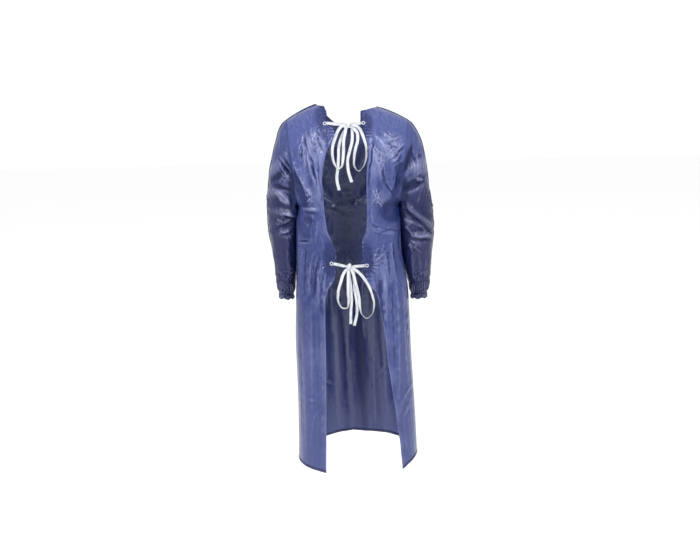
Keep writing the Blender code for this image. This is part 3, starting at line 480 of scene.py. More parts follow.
def ribbonGrid(route, knot, settings, seed):
    # A smooth curve through the route. The width lies across it, turned out of the back's plane by the
    # route's turn, hollowed a little along its middle and pinched where it runs into the knot.
    places, turns = route[:, :3] / 1000, np.radians(route[:, 3])
    keys = lengthsFromFirst(places, 0)
    at = np.linspace(0, keys[-1], int(round(keys[-1] / settings["step"])) + 1)
    middle = np.stack([cubicThrough(keys, axis, np.gradient(axis, keys), at) for axis in places.T], axis=1)
    turn = np.interp(at, keys, turns)[:, None]
    ahead = np.gradient(middle, axis=0)
    ahead /= np.linalg.norm(ahead, axis=1, keepdims=True)
    flat = np.cross(ahead, (0.0, 1.0, 0.0))
    flat /= np.linalg.norm(flat, axis=1, keepdims=True) + 1e-9
    out = np.cross(flat, ahead)
    across = flat * np.cos(turn) + out * np.sin(turn)
    lift = out * np.cos(turn) - flat * np.sin(turn)
    fromKnot = np.linalg.norm(middle - np.array(knot), axis=1)
    pinch = settings["pinch"] + (1 - settings["pinch"]) * smoothStep(*settings["pinched"], fromKnot)[:, None]
    side = np.linspace(-1, 1, settings["across"] + 1)[None]
    pleats = np.cos(3.0 * math.pi * side)
    ripple = latticeNoise(at[:, None] / settings["rippleLength"], side * 0.9 + seed, seed)
    hollow = settings["arch"] * (side ** 2 - 0.4) + settings["ripple"] * ripple * pinch
    hollow = hollow + settings["pleat"] * (1 - pinch) * pleats
    grid = middle[:, None] + across[:, None] * (side * settings["width"] / 2 * pinch)[..., None]
    grid = grid + lift[:, None] * hollow[..., None]
    # Painted shade: darker in the pleats by the knot, along both edges and in the ripple's troughs.
    fold = 0.6 * smoothStep(0.0, 1.0, 1 - pinch) * (0.5 + 0.5 * pleats)
    fold = fold + 0.40 * np.abs(side) ** 3 + 0.45 * np.clip(-ripple, 0, 1)
    return middle, {"points": grid, "fold": fold, "normals": np.broadcast_to(lift[:, None], grid.shape)}


def makeTape(name, route, knot, nodes, settings, seed):
    # One ribbon along the whole route, with its middle line and that line's length.
    middle, part = ribbonGrid(route, knot, settings, seed)
    made = makePiece(name, [part], "tape", nodes, settings["wall"], 0.5)
    length = float(lengthsFromFirst(middle, 0)[-1])
    print(name, "is", round(length * 1000), "mm long")
    return made, middle.tolist(), length


knotSettings = {
    "radii": (0.0086, 0.0050, 0.0080), "around": 48, "down": 26,
    "band": 0.0046, "bandRound": 0.2, "bandOut": (1.12, 1.06), "slant": 24,
}


def makeKnot(name, place, node, settings):
    # A crushed pillow of tape, its radius swung by slow lobes, with one turn of tape laid slanting over it.
    around = np.linspace(0, 2 * math.pi, settings["around"], endpoint=False)
    angle, polar = np.meshgrid(around, np.linspace(0, math.pi, settings["down"]))
    lobes = 1 + 0.10 * np.cos(3 * angle + 1.1) * np.sin(polar) ** 2 + 0.07 * np.sin(2 * angle - 3 * polar)
    size = np.array(settings["radii"])
    core = np.stack((np.sin(polar) * np.cos(angle), np.sin(polar) * np.sin(angle), np.cos(polar)), axis=2)
    core = core * (lobes * (1 + 0.05 * np.cos(9 * polar)))[..., None] * size
    ring, section = np.meshgrid(np.linspace(0, 2 * math.pi, 56, endpoint=False),
                                np.linspace(0, 2 * math.pi, 17))
    slant = math.radians(settings["slant"])
    wide = settings["band"] * np.sign(np.cos(section)) * np.abs(np.cos(section)) ** 0.7
    proud = 1.04 + settings["bandRound"] * np.sin(section) + 0.03 * np.cos(4 * ring)
    outY, outZ = settings["bandOut"]
    y, z = size[1] * outY * proud * np.cos(ring), size[2] * outZ * proud * np.sin(ring)
    band = np.stack((wide * math.cos(slant) - z * math.sin(slant), y,
                     wide * math.sin(slant) + z * math.cos(slant)), axis=2)
    # Painted shade in the knot's dents and along the band's edges.
    parts = [{"points": core + place, "closed": True, "fold": 0.25 * (1.1 - lobes) / 0.2},
             {"points": band + place, "closed": True, "fold": 0.4 * (1 - np.abs(np.sin(section))),
              "normals": band}]
    return makePiece(name, parts, "tape", [node])


# The body's form, in distances out from the middle of one side

bodySections = {key: np.array(rows) / 1000 for key, rows in {
    "z": (-1300, -1050, -850, -700, -630, -560, -480, -400, -345, -325, -250, -160, -80, 20),
    "left": (203, 198, 199, 194, 190, 185, 183, 181, 174, 191, 220, 236, 246, 252),
    "right": (236, 224, 213, 207, 202, 189, 178, 177, 174, 191, 220, 236, 246, 252),
    "front": (165, 156, 146, 138, 140, 144, 148, 140, 122, 124, 124, 118, 106, 94),
    "back": (145, 140, 134, 124, 96, 74, 72, 89, 113, 115, 118, 119, 108, 96),
    "middle": (-10, -8, -6, -2, 14, 26, 30, 21, 0, 0, 0, 0, 0, 0),
}.items()}
backEdges = {side: np.array(rows) / 1000 for side, rows in {
    "left": (
        (-1285, 99), (-1100, 94), (-870, 89), (-727, 88), (-664, 86), (-624, 76), (-587, 53), (-560, 48),
        (-533, 52), (-510, 45), (-462, 57), (-420, 74), (-333, 83), (-266, 86), (-204, 79), (-152, 66),
        (-126, 45), (-105, 40), (-86, 45), (-66, 62), (-40, 66), (-12, 66)),
    "right": (
        (-1285, 174), (-1152, 160), (-1001, 141), (-902, 127), (-781, 115), (-699, 103), (-643, 91),
        (-603, 60), (-566, 50), (-542, 46), (-496, 42), (-464, 43), (-427, 57), (-360, 61), (-297, 60),
        (-224, 62), (-160, 68), (-120, 63), (-92, 54), (-69, 44), (-49, 45), (-30, 45)),
}.items()}
cut = {
    "underarmZ": -0.345, "underarmX": 0.174, "tipX": 0.203, "neckX": 0.100, "levelZ": -0.85,
    "roundOver": 0.13, "sectionPower": 2.3, "shoulderPower": 2.2, "seamGap": 0.0003, "hemDepth": 0.008,
    "hemRows": 4, "frontNeckZ": -0.085,
    "shoulder": {"left": (-0.005, 0.30, 1.6), "right": (-0.016, 0.27, 1.5)},
    "topInner": {"left": 0.066, "right": 0.045}, "backNeckZ": {"left": -0.012, "right": -0.030},
    "hem": {"left": (-1.237, -1.268, -1.281), "right": (-1.237, -1.252, -1.283)},
}


def shoulderHeight(side, distance):
    # From the neck point outwards: a slope and a curve.
    neckZ, slope, curve = cut["shoulder"][side]
    out = distance - cut["neckX"]
    return neckZ - slope * out - curve * out * np.abs(out)


def outerDistance(side, z):
    # The side seam below the underarm; above it the armhole, in a plane that leans in downwards.
    tipZ = shoulderHeight(side, cut["tipX"])
    share = np.clip((z - cut["underarmZ"]) / (tipZ - cut["underarmZ"]), 0.0, 1.0)
    armhole = cut["underarmX"] + (cut["tipX"] - cut["underarmX"]) * share
    return np.where(z <= cut["underarmZ"], curveThrough(bodySections["z"], bodySections[side], z), armhole)


def innerDistance(side, facing, z):
    # The open edge behind, rounded over at the neck; in front each half starts at the middle.
    if facing < 0:
        return np.zeros_like(z)
    heights, distances = backEdges[side].T
    return curveThrough(heights, distances, z) + 0.008 * smoothStep(-0.042, -0.012, z) ** 2


def bodyY(side, distance, z, facing):
    # Half an oval of the section's depth, rounded over towards the shoulder line.
    depth = curveThrough(bodySections["z"], bodySections["back" if facing > 0 else "front"], z)
    across = np.clip(distance / curveThrough(bodySections["z"], bodySections[side], z), 0.0, 1.0)
    oval = (1 - across ** cut["sectionPower"]) ** (1 / cut["sectionPower"])
    drop = np.clip((shoulderHeight(side, distance) - z) / cut["roundOver"], 0.0, 1.0)
    rounding = (1 - (1 - drop) ** cut["shoulderPower"]) ** (1 / cut["shoulderPower"])
    seam = np.interp(z, bodySections["z"], bodySections["middle"])
    return seam + facing * (depth * oval * rounding + cut["seamGap"] / 2)


def topHeight(side, facing, distance, inner):
    # The shoulder line, and inside its neck point the neckline down to its lowest point.
    neckZ = shoulderHeight(side, cut["neckX"])
    lowZ = cut["frontNeckZ"] if facing < 0 else cut["backNeckZ"][side]
    share = np.clip((distance - inner) / (cut["neckX"] - inner), 0.0, 1.0)
    neckline = lowZ + (neckZ - lowZ) * share ** (1.6 if facing < 0 else 1.0)
    return np.where(distance < cut["neckX"], neckline, shoulderHeight(side, distance))


def columnShares(side, facing, count, crowding):
    # Columns even along the oval at the underarm, closer towards the open edge.
    z = np.array(cut["underarmZ"])
    outer, inner = float(outerDistance(side, z)), float(innerDistance(side, facing, z))
    start = math.asin((inner / outer) ** (cut["sectionPower"] / 2))
    angles = start + (math.pi / 2 - start) * (np.arange(count + 1) / count) ** crowding
    return (outer * np.sin(angles) ** (2 / cut["sectionPower"]) - inner) / (outer - inner)


def panelHalf(side, facing, shares, levels, upper):
    # Rows from the hem up to the underarm, then fanned out to the neck and the shoulder.
    hemFront, hemSide, hemBack = cut["hem"][side]
    hemLine = hemSide + ((hemBack if facing > 0 else hemFront) - hemSide) * (1 - shares)
    rows = [hemLine + rise for rise in np.linspace(0.0, cut["hemDepth"], cut["hemRows"])]
    low = hemSide + cut["hemDepth"]
    for level in low + (cut["underarmZ"] - low) * levels[1:-1]:
        fade = np.clip((cut["levelZ"] - level) / (cut["levelZ"] - low), 0.0, 1.0)
        rows.append(level + (hemLine - hemSide) * fade)
    topInner = cut["topInner"][side] if facing > 0 else 0.0
    topDistance = topInner + (cut["tipX"] - topInner) * shares
    rise = topHeight(side, facing, topDistance, topInner) - cut["underarmZ"]
    rows.extend(cut["underarmZ"] + rise * share for share in upper)
    z = np.array(rows)
    inner = innerDistance(side, facing, z[:, :1])
    outer = outerDistance(side, z[:, -1:])
    distance = inner + (outer - inner) * shares
    return np.stack((sides[side] * distance, bodyY(side, distance, z, facing), z), axis=2)


# Rings of tape round the film's edge, then the tapes that are tied to them

ringSettings = {"radius": 0.0048, "wide": 0.0022, "thick": 0.0015, "lift": 0.0018, "slopeStep": 0.004}
ringPlaces = {
    "neck_ring_left": ("left", 0.0720, -0.0680), "neck_ring_right": ("right", -0.0535, -0.0690),
    "waist_ring_left": ("left", 0.0620, -0.5340), "waist_ring_right": ("right", -0.0575, -0.5430),
}


def makeRing(name, seat, settings, seed):
    # An oval section carried round a slightly uneven circle that lies on the panel's tangent plane.
    side, x, z = seat
    step = settings["slopeStep"]
    y = float(bodyY(side, abs(x), np.array(z), 1))
    rise = (float(bodyY(side, abs(x), np.array(z + step), 1)) - y) / step
    run = (float(bodyY(side, abs(x + step), np.array(z), 1)) - y) / step
    out = np.array((-run, 1.0, -rise)) / math.hypot(run, 1.0, rise)
    flat = np.cross(out, (0.0, 0.0, 1.0))
    flat /= np.linalg.norm(flat)
    up = np.cross(flat, out)
    turn, section = np.meshgrid(np.linspace(0, 2 * math.pi, 48, endpoint=False),
                                np.linspace(0, 2 * math.pi, 13))
    uneven = 1 + 0.06 * np.cos(2 * turn + seed) + 0.03 * np.cos(5 * turn + 2 * seed)
    outward = np.cos(turn)[..., None] * flat + np.sin(turn)[..., None] * up
    middle = (settings["radius"] * uneven)[..., None] * outward + settings["lift"] * out
    height = settings["wide"] / 2 * np.sin(section) * (1 + 0.25 * np.cos(3 * turn + seed))
    tube = (settings["thick"] * np.cos(section))[..., None] * outward + height[..., None] * out
    # Painted shade on the inner side of the ring's tube.
    part = {"points": middle + tube + (x, y, z), "closed": True, "normals": tube,
            "fold": 0.35 * (0.5 - 0.5 * np.cos(section))}
    return makePiece("tape_" + name, [part], "tape", [name])


knots = {seat: makeKnot("tape_knot_" + seat, place, seat + "_knot", knotSettings)
         for seat, place in knotPlaces.items()}
rings = {name: makeRing(name, seat, ringSettings, number + 0.7)
         for number, (name, seat) in enumerate(ringPlaces.items())}
for number, (name, routes) in enumerate(tapeRoutes.items()):
    seat, side = name.split("_")
    nodes = [seat + "_" + stretch + "_" + side for stretch in routes]
    route = np.concatenate([np.array(rows, float) for rows in routes.values()])
    tape, path, length = makeTape("tape_" + name, route, knotPlaces[seat], nodes, tapeSettings, 21 + number)
    helpers = [rings[seat + "_ring_" + side]] + ([knots[seat]] if side == "left" else [])
print("tapes, knots and rings made")


# Folds, creases, and spots of painted shade and painted highlight. Each rule gives one row's value at x and
# z, which are a view's own two coordinates in millimetres. Heights are in millimetres too.

viewAxes = {"back": (0, 1, 1), "front": (0, 1, -1), "left": (1, 0, 1), "right": (1, 0, -1)}
creaseStyle = {"width": 0.62, "height": 1.40}


def foldAt(x, z, x0, z0, x1, z1, width, height):
    # A soft fold: bell-shaped across and highest half way along.
    line = np.array((x1 - x0, z1 - z0))
    t = np.clip(((x - x0) * line[0] + (z - z0) * line[1]) / (line @ line), 0.0, 1.0)
    away = np.hypot(x - x0 - t * line[0], z - z0 - t * line[1])
    return height * bell(away, width) * (0.3 + 0.7 * np.sin(math.pi * t))


def creaseAt(x, z, x0, z0, x1, z1, bow, width, height, lean=0.0):
    # A sharp crease along a bowed line: exp(-distance) flanks with a softened crest, the flank on one side
    # longer by the lean, dying out at both ends.
    line = np.array((x1 - x0, z1 - z0))
    size = math.hypot(*line)
    t = ((x - x0) * line[0] + (z - z0) * line[1]) / size ** 2
    bowed = bow * 4 * t * (1 - t) * (np.abs(t - 0.5) < 1) - 1.6 * latticeNoise(x / 13, z / 13, 900)
    aside = ((x - x0) * -line[1] + (z - z0) * line[0]) / size - bowed
    past = size * np.maximum(np.maximum(-t, t - 1), 0.0)
    reach = creaseStyle["width"] * width * np.where(aside > 0, 1 + lean, 1 - lean)
    away = np.hypot(aside, past) / reach
    flank = np.exp(0.35 - np.sqrt(away ** 2 + 0.35 ** 2))
    along = 0.25 + 0.75 * np.sin(math.pi * np.clip(t, 0.0, 1.0)) ** 0.7
    strength = creaseStyle["height"] * (0.85 + 0.45 * latticeNoise(x / 22, z / 22 + 5, 901))
    return strength * height * flank * along * smoothStep(4.5, 2.5, away)


def turnedOval(x, z, x0, z0, halfWide, halfHigh, turn, fullAt):
    # Distances along and across an oval, and its strength: 1 within fullAt of its half sizes and 0 outside.
    turn, dx, dz = math.radians(turn), x - x0, z - z0
    u = dx * math.cos(turn) + dz * math.sin(turn)
    v = dz * math.cos(turn) - dx * math.sin(turn)
    return u, v, smoothStep(1.0, fullAt, np.hypot(u / halfWide, v / halfHigh))


def crushAt(x, z, x0, z0, halfWide, halfHigh, turn, cell, height, seed):
    # A crushed spot: crumple inside an oval.
    u, v, inside = turnedOval(x, z, x0, z0, halfWide, halfHigh, turn, 0.25)
    return height * inside * crumple(u / cell, v / cell / 1.35, seed)


def strandAt(x, z, x0, z0, halfWide, halfHigh, turn, width, length, height, seed):
    # A bundle of narrow creases inside an oval: noise drawn out along the bundle, whose zero lines stand as
    # thin ridges.
    u, v, inside = turnedOval(x, z, x0, z0, halfWide, halfHigh, turn, 0.35)
    drift = 0.8 * latticeNoise(v / length, u / width * 0.3, seed + 1)
    noise = np.abs(latticeNoise(u / width + drift, v / length, seed))
    return height * inside * np.maximum(0.8 - 2.4 * noise, -0.6)


def spotAt(x, z, x0, z0, halfWide, halfHigh, turn, amount):
    # A soft oval of strength; the spots of painted shade and of painted highlight are made of these.
    return amount * turnedOval(x, z, x0, z0, halfWide, halfHigh, turn, 0.45)[2]


def sumOver(rule, points, normals, table):
    # A rule's values for each row of a table, faded out where the film turns away from the row's view.
    total = np.zeros(points.shape[:2])
    for view, rows in table.items():
        flatAxis, depthAxis, sign = viewAxes[view]
        facing = smoothStep(0.0, 0.45, normals[..., depthAxis] * sign)
        x, z = 1000 * points[..., flatAxis], 1000 * points[..., 2]
        for row in rows:
            total += facing * rule(x, z, *row)
    return total


def relief(points, normals, tables, foldShare):
    # Folds, creases, crushed spots and strands together, in metres.
    height = foldShare * sumOver(foldAt, points, normals, tables["folds"])
    for kind, rule in {"creases": creaseAt, "crush": crushAt, "strands": strandAt}.items():
        height += sumOver(rule, points, normals, tables[kind])
    return height / 1000


def gatherHeights(points, gathers):
    # Uneven waves that fan out from a tape ring and leave the film under it flat.
    total = np.zeros(points.shape[:2])
    for x0, z0, count, reach, height in gathers:
        dx, dz = 1000 * points[..., 0] - x0, 1000 * points[..., 2] - z0
        away, angle = np.hypot(dx, dz), np.arctan2(dz, dx)
        swell = smoothStep(8, 16, away) * (1 - smoothStep(0.35, 1.0, away / reach))
        uneven = 0.65 + 0.5 * np.cos(3 * angle + 1.3) + 0.25 * np.cos(5 * angle + away / 10)
        total += height * swell * uneven * np.cos(count * angle + 1.4 * np.sin(2 * angle) + away / 20)
    return total / 1000


def edgeRuffles(fromEdge, along, windows, seed):
    # Waves along a free edge that die out into the panel. Columns: z low, z high, length, reach, height.
    total = np.zeros(fromEdge.shape)
    for window in windows:
        low, high, length, reach, height = np.array(window) / 1000
        inside = smoothStep(low - 0.015, low, along) * (1 - smoothStep(high, high + 0.015, along))
        phase = along / length * 2 * math.pi + 1.8 * latticeNoise(along / (2.3 * length), fromEdge * 0, seed)
        strength = 0.6 + 0.4 * latticeNoise(along / length, fromEdge * 0 + 5, seed + 1)
        total += height * inside * strength * np.exp(-(fromEdge / reach) ** 1.3) * np.sin(phase)
    return total


def puckers(fromSeam, along, size, reach, height, seed):
    # Short uneven ripples square to a seam.
    strength = 0.5 + 0.5 * latticeNoise(along / (5 * size), fromSeam * 0, seed + 1)
    ripple = latticeNoise(along / size, fromSeam / (4 * size), seed)
    return height * strength * ripple * np.exp(-fromSeam / reach) * smoothStep(0.0, 0.004, fromSeam)


# How fold depths turn into painted shade in troughs and painted highlight on crests.
shadeStyle = {"near": 0.55, "far": 0.5, "crestNear": 0.5, "crestFar": 0.25, "highlightLoss": 0.2}


def foldShade(height, closed, fine, wide):
    # How deep each point lies below the mean of its neighbours, near and far, in shares of two depths, as
    # painted shade, and how high above it, as painted highlight.
    near = np.clip((softened(height, 3, closed) - height) / fine, -1, 1)
    far = np.clip((softened(softened(height, 9, closed), 6, closed) - height) / wide, -1, 1)
    crestHighlight = np.clip(-near, 0, 1) * shadeStyle["crestNear"] + np.clip(-far, 0, 1) * shadeStyle["crestFar"]
    return np.clip(near, 0, 1) * shadeStyle["near"] + np.clip(far, 0, 1) * shadeStyle["far"], crestHighlight


def filmPart(points, fold, paintedHighlight, **more):
    # A grid with its painted shade and painted highlight, kept between 0 and 1.
    return {"points": points, "fold": np.clip(fold, 0, 1), "paintedHighlight": np.clip(paintedHighlight, 0, 1), **more}


# Front and back panels

hemStyle = {"fold": 0.5, "wall": 0.0020, "outside": 0.3}


def panelHeight(base, normals, settings, tables, distances, shares, seed):
    # Relief, crinkle, streaks down the cloth and puckers along the side seam, all dying out at the seam and
    # at the top. The shares say how much of the folds, the crinkle and the streaks each point gets.
    across, down, fromSeam, fromTop = distances
    height = relief(base, normals, tables, shares["folds"])
    wide, long = settings["crinkleCell"]
    height += settings["crinkle"] * shares["crinkle"] * crumple(across / wide, down / long, seed + 1)
    (fineWide, fineLong), (broadWide, broadLong) = settings["streakCells"]
    streaks = latticeNoise(across / fineWide, down / fineLong, seed + 2)
    streaks = streaks + 0.6 * latticeNoise(across / broadWide, down / broadLong, seed + 3)
    height += settings["streaks"] * shares["streaks"] * streaks
    size, reach, low, more = settings["puckers"]
    underarm = smoothStep(-0.40, -0.30, base[..., 2])
    height += puckers(fromSeam, down, size, reach, more * underarm + low, seed + 4)
    return height * smoothStep(0.0, 0.014, fromSeam) * smoothStep(0.0, 0.020, fromTop)


def makePanel(where, node, points, fold, paintedHighlight, wall):
    # The panel above its hem, and the hem's own narrow strip, which shares one row of points with it.
    rows = cut["hemRows"]
    part = filmPart(points[rows - 1:], fold[rows - 1:], paintedHighlight[rows - 1:])
    # The hem keeps half of the panel's painted shade.
    strip = {"points": points[:rows], "fold": np.clip(fold[:rows], 0, 1) * hemStyle["fold"]}
    made = makePiece("film_" + where, [part], "body", [node], wall)
    return made, makePiece("film_hem_" + where, [strip], "hem", ["hem_" + where], hemStyle["wall"],
                           hemStyle["outside"])


backSettings = {
    "columns": 116, "crowding": 1.15, "wall": 0.0006, "crinkle": 0.0007, "crinkleCell": (0.013, 0.026),
    "streaks": 0.0006, "streakCells": ((0.0085, 0.16), (0.019, 0.30)), 
    "puckers": (0.010, 0.016, 0.0012, 0.0024), "under": (0.0012, 0.0028), "seam": 0.0022,
    "neckShadeEdge": 0.0065, "neckShadeTop": 0.0060, "shade": (0.0011, 0.0042), "crestHighlight": 0.32,
    "seeds": {"left": 100, "right": 200}, "seamShade": {"left": 0.8, "right": 0.4},
    "left": {
        "folds": {"back": (
            (88, -95, 118, -215, 11, 8), (106, -88, 146, -215, 13, 8.8), (98, -110, 133, -300, 11, -7.2),
            (78, -118, 100, -300, 11, 8), (66, -150, 90, -330, 10, -5.6), (168, -190, 124, -335, 13, 9.6),
            (106, -349, 152, -345, 10, 8), (120, -375, 150, -400, 25, -9.6), (126, -455, 166, -462, 10, 3.4),
            (90, -555, 122, -700, 13, 7.2), (115, -560, 150, -690, 13, -6.4), (150, -620, 160, -1260, 23, 8),
            (118, -700, 122, -1270, 21, -6.4))},
        "creases": {"back": (
            (187, -145, 182, -220, 0, 5, 3.6, 0.3), (118, -82, 108, -150, 3, 5, 3, 0.2),
            (120, -100, 105, -168, 2, 4, -3.6), (106, -90, 92, -144, 2, 4.5, 3.2, 0.2),
            (101, -104, 86, -158, 0, 3.6, -2.6), (89, -128, 75, -164, 1, 3.6, -2.8, 0.1),
            (84, -118, 71, -150, 0, 3.6, 2.4), (144, -100, 130, -154, 2, 4.2, -3.4, 0.2),
            (130, -148, 115, -196, 1, 4, -3.2, 0.2), (151, -132, 161, -178, 3, 5, 3.6, 0.2),
            (146, -136, 139, -190, 0, 4, 3.4), (134, -154, 131, -226, 2, 4.4, -4, 0.2),
            (129, -160, 107, -275, 4, 6, 4.2, 0.2), (120, -176, 102, -266, 3, 5, -4.2),
            (109, -178, 92, -305, 2, 6, 3.4, 0.2), (98, -190, 88, -322, 0, 5, -3),
            (179, -190, 123, -301, 5, 6, 7.2, -0.3), (178, -222, 138, -318, 4, 10, -9),
            (150, -305, 122, -294, 0, 3.4, 3), (148, -330, 119, -307, 2, 3.4, 3.8, -0.2),
            (141, -319, 121, -303, 0, 3, -3.2), (122, -294, 119, -326, 1, 3.4, 3),
            (147, -346, 110, -351, -2, 3.6, 3.4, -0.3), (152, -359, 112, -362, 0, 6, -4),
            (121, -366, 129, -454, 3, 6, 3, 0.3), (173, -466, 134, -467, -2, 4, 1.6, -0.4),
            (172, -460, 138, -459, 0, 4.4, -4.6), (105, -395, 112, -470, 2, 5, 2),
            (95, -430, 84, -490, 2, 5, 2.4), (94, -520, 111, -645, 4, 5, 3, 0.2),
            (103, -512, 127, -650, 4, 5, -3), (113, -556, 111, -596, 0, 3.6, 2.6),
            (122, -496, 141, -640, 5, 6, 3.2, 0.2), (148, -480, 159, -650, 3, 6, -3),
            (160, -478, 169, -610, 2, 6, 2.8), (78, -556, 90, -690, 6, 5, 3, 0.2),
            (86, -556, 101, -704, 6, 5, -3), (134, -660, 141, -1050, 2, 6, 1.4),
            (104, -700, 110, -1190, -2, 7, 1.3), (172, -700, 178, -1150, 2, 8, -1.6),
            (146, -1009, 131, -1026, 0, 3, 2, 0.2), (131, -1060, 150, -1190, 4, 5, 1.1))},
        "crush": {"back": (
            (148, -160, 30, 36, 10, 10, 1.6, 5), (108, -130, 34, 40, -15, 11, 2.2, 17),
            (134, -314, 24, 28, 0, 8, 2.8, 23), (118, -400, 60, 70, 0, 20, 0.7, 29),
            (105, -570, 60, 80, 0, 14, 1, 31), (140, -1020, 30, 40, 0, 12, 1, 37))},
        "strands": {"back": (
            (110, -138, 44, 64, -15, 7.5, 45, 1.7, 801), (112, -225, 36, 82, -12, 8.5, 70, 1.4, 803),
            (148, -165, 26, 52, 6, 8, 34, 1.6, 805), (120, -590, 62, 120, -6, 9, 80, 1, 807))},
        "inShadow": {"back": (
            (82, -40, 34, 52, 10, 0.75), (75, -100, 30, 40, 0, 0.5), (163, -285, 18, 100, -20, 0.95),
            (148, -412, 36, 56, 0, 0.62), (64, -515, 34, 78, 0, 0.9), (62, -560, 32, 40, 0, 0.5),
            (110, -480, 75, 60, 0, 0.24), (135, -660, 80, 220, 0, 0.3), (156, -459, 22, 5, 0, 0.6))},
        "paintedHighlight": {"back": (
            (110, -150, 55, 75, 0, 0.3), (130, -350, 34, 10, 0, 0.25), (120, -260, 40, 110, -12, 0.16),
            (120, -700, 70, 300, 0, 0.08))},
        "gathers": ((73, -68, 16, 34, 2.4), (63, -534, 14, 42, 2.6)),
        "ruffles": ((-100, 0, 11, 13, 3.2), (-600, -470, 19, 14, 1), (-1200, -650, 130, 30, 1.6)),
    },
    "right": {
        "folds": {"back": (
            (-86, -98, -176, -215, 13, 8), (-80, -160, -118, -225, 13, 9.6),
            (-186, -150, -158, -285, 14, -12.8), (-84, -285, -112, -345, 13, 8.8),
            (-145, -368, -120, -350, 23, -4.5), (-90, -418, -160, -434, 11, 4),
            (-88, -120, -78, -420, 14, 6.4), (-110, -560, -130, -720, 14, 8),
            (-90, -560, -110, -700, 13, -6.4), (-150, -600, -172, -1255, 23, 8.8),
            (-148, -760, -190, -1270, 18, -7.2))},
        "creases": {"back": (
            (-84, -134, -72, -220, -2, 4.4, -4.2), (-77, -118, -69, -212, -2, 5, 2.6),
            (-73, -214, -66, -276, 0, 4.4, -3), (-122, -101, -148, -119, 2, 3.4, 3, 0.2),
            (-119, -124, -182, -113, 3, 3.6, 2.8, 0.2), (-132, -130, -162, -119, 0, 3.2, 2.6),
            (-122, -131, -176, -153, 3, 4.4, -3), (-112, -146, -150, -141, 2, 3.4, 2.8, 0.2),
            (-163, -162, -194, -136, 1, 4.4, 4.6, -0.2), (-143, -188, -189, -152, 2, 4.2, -5),
            (-145, -197, -188, -164, 2, 4.4, 4.2, 0.2), (-152, -211, -182, -195, 1, 4.4, 3),
            (-92, -152, -118, -170, 2, 3.4, 3), (-90, -170, -120, -196, 3, 3.4, 3, 0.2),
            (-116, -208, -128, -277, 3, 5, -4, 0.2), (-127, -270, -157, -310, 2, 5, -4.2),
            (-104, -214, -118, -268, 2, 5, 2.6), (-199, -180, -166, -292, -2, 9, -10, 0.2),
            (-178, -215, -150, -290, 2, 6, 3.6), (-78, -284, -113, -347, 3, 4.4, 3.6, 0.2),
            (-90, -280, -98, -320, 0, 3.4, 2.8), (-100, -290, -86, -340, 1, 3.4, -2.6),
            (-107, -334, -146, -400, 8, 6, 2, -0.2), (-76, -404, -168, -431, 4, 4.8, -4.2),
            (-70, -417, -150, -441, 4, 5, 1.3, -0.3), (-74, -350, -82, -400, 1, 5, 2),
            (-97, -486, -78, -534, 3, 4.4, 3), (-118, -497, -88, -527, -3, 4.4, 4, -0.2),
            (-112, -478, -104, -510, 0, 3.6, 2.6), (-142, -470, -155, -580, 3, 6, 4, 0.2),
            (-150, -462, -165, -590, 3, 5, -3.4), (-132, -490, -141, -600, 3, 5, -3),
            (-174, -424, -184, -545, 2, 8, -4.4), (-118, -570, -127, -770, 3, 6, 3.4, 0.2),
            (-104, -600, -118, -760, 4, 5, -2.8), (-155, -580, -162, -1020, -3, 7, 3),
            (-142, -610, -150, -900, 2, 6, -2.6), (-180, -600, -192, -930, 3, 7, 2.2),
            (-203, -725, -188, -765, 1, 3.6, 2.6), (-207, -770, -192, -800, 0, 3.4, 2.2),
            (-214, -980, -170, -1040, 3, 4.4, 2.4, 0.2), (-216, -1030, -182, -1085, 3, 4.4, 2.2),
            (-176, -1090, -190, -1220, 2, 6, 1.4))},
        "crush": {"back": (
            (-103, -186, 24, 48, -20, 8.5, 2.2, 41), (-152, -152, 46, 46, 20, 9.5, 2.1, 43),
            (-94, -315, 26, 40, -15, 8, 2.3, 47), (-130, -240, 60, 70, 0, 19, 1.4, 53),
            (-105, -515, 52, 60, 0, 11, 1.6, 59), (-195, -780, 30, 80, 5, 12, 0.8, 61),
            (-195, -1050, 40, 90, 10, 13, 0.8, 67))},
        "strands": {"back": (
            (-84, -190, 24, 90, 8, 8, 60, 1.4, 811), (-152, -158, 48, 44, 58, 8, 34, 1.9, 813),
            (-106, -188, 26, 46, -20, 7, 22, 1.8, 815), (-122, -255, 36, 62, -18, 9.5, 50, 1.3, 817),
            (-112, -610, 52, 130, -6, 8.5, 70, 1.1, 819))},
        "inShadow": {"back": (
            (-62, -70, 34, 50, 0, 0.75), (-176, -250, 18, 86, 20, 1.5), (-147, -362, 54, 50, 0, 1.6),
            (-124, -427, 50, 5, -17, 0.55), (-160, -310, 26, 40, 20, 0.6), (-56, -522, 32, 84, 0, 0.9),
            (-174, -480, 30, 150, 0, 0.45), (-125, -250, 30, 60, 0, 0.22))},
        "paintedHighlight": {"back": (
            (-138, -150, 60, 60, 0, 0.34), (-98, -200, 34, 60, 0, 0.28), (-100, -310, 34, 40, 0, 0.18),
            (-110, -570, 50, 80, 0, 0.16))},
        "gathers": ((-56, -69, 15, 34, 2.4), (-59, -543, 14, 44, 2.6)),
        "ruffles": ((-110, -20, 10, 14, 3.4), (-610, -470, 16, 15, 1.4), (-1200, -650, 120, 30, 1.8)),
    },
}
backLevels = np.concatenate((np.linspace(0, 0.72, 120)[:-1], np.linspace(0.72, 1.0, 96)))
backShares = np.concatenate((np.linspace(0, 0.97, 148), (0.980, 0.988, 0.994, 0.998, 1.0)))


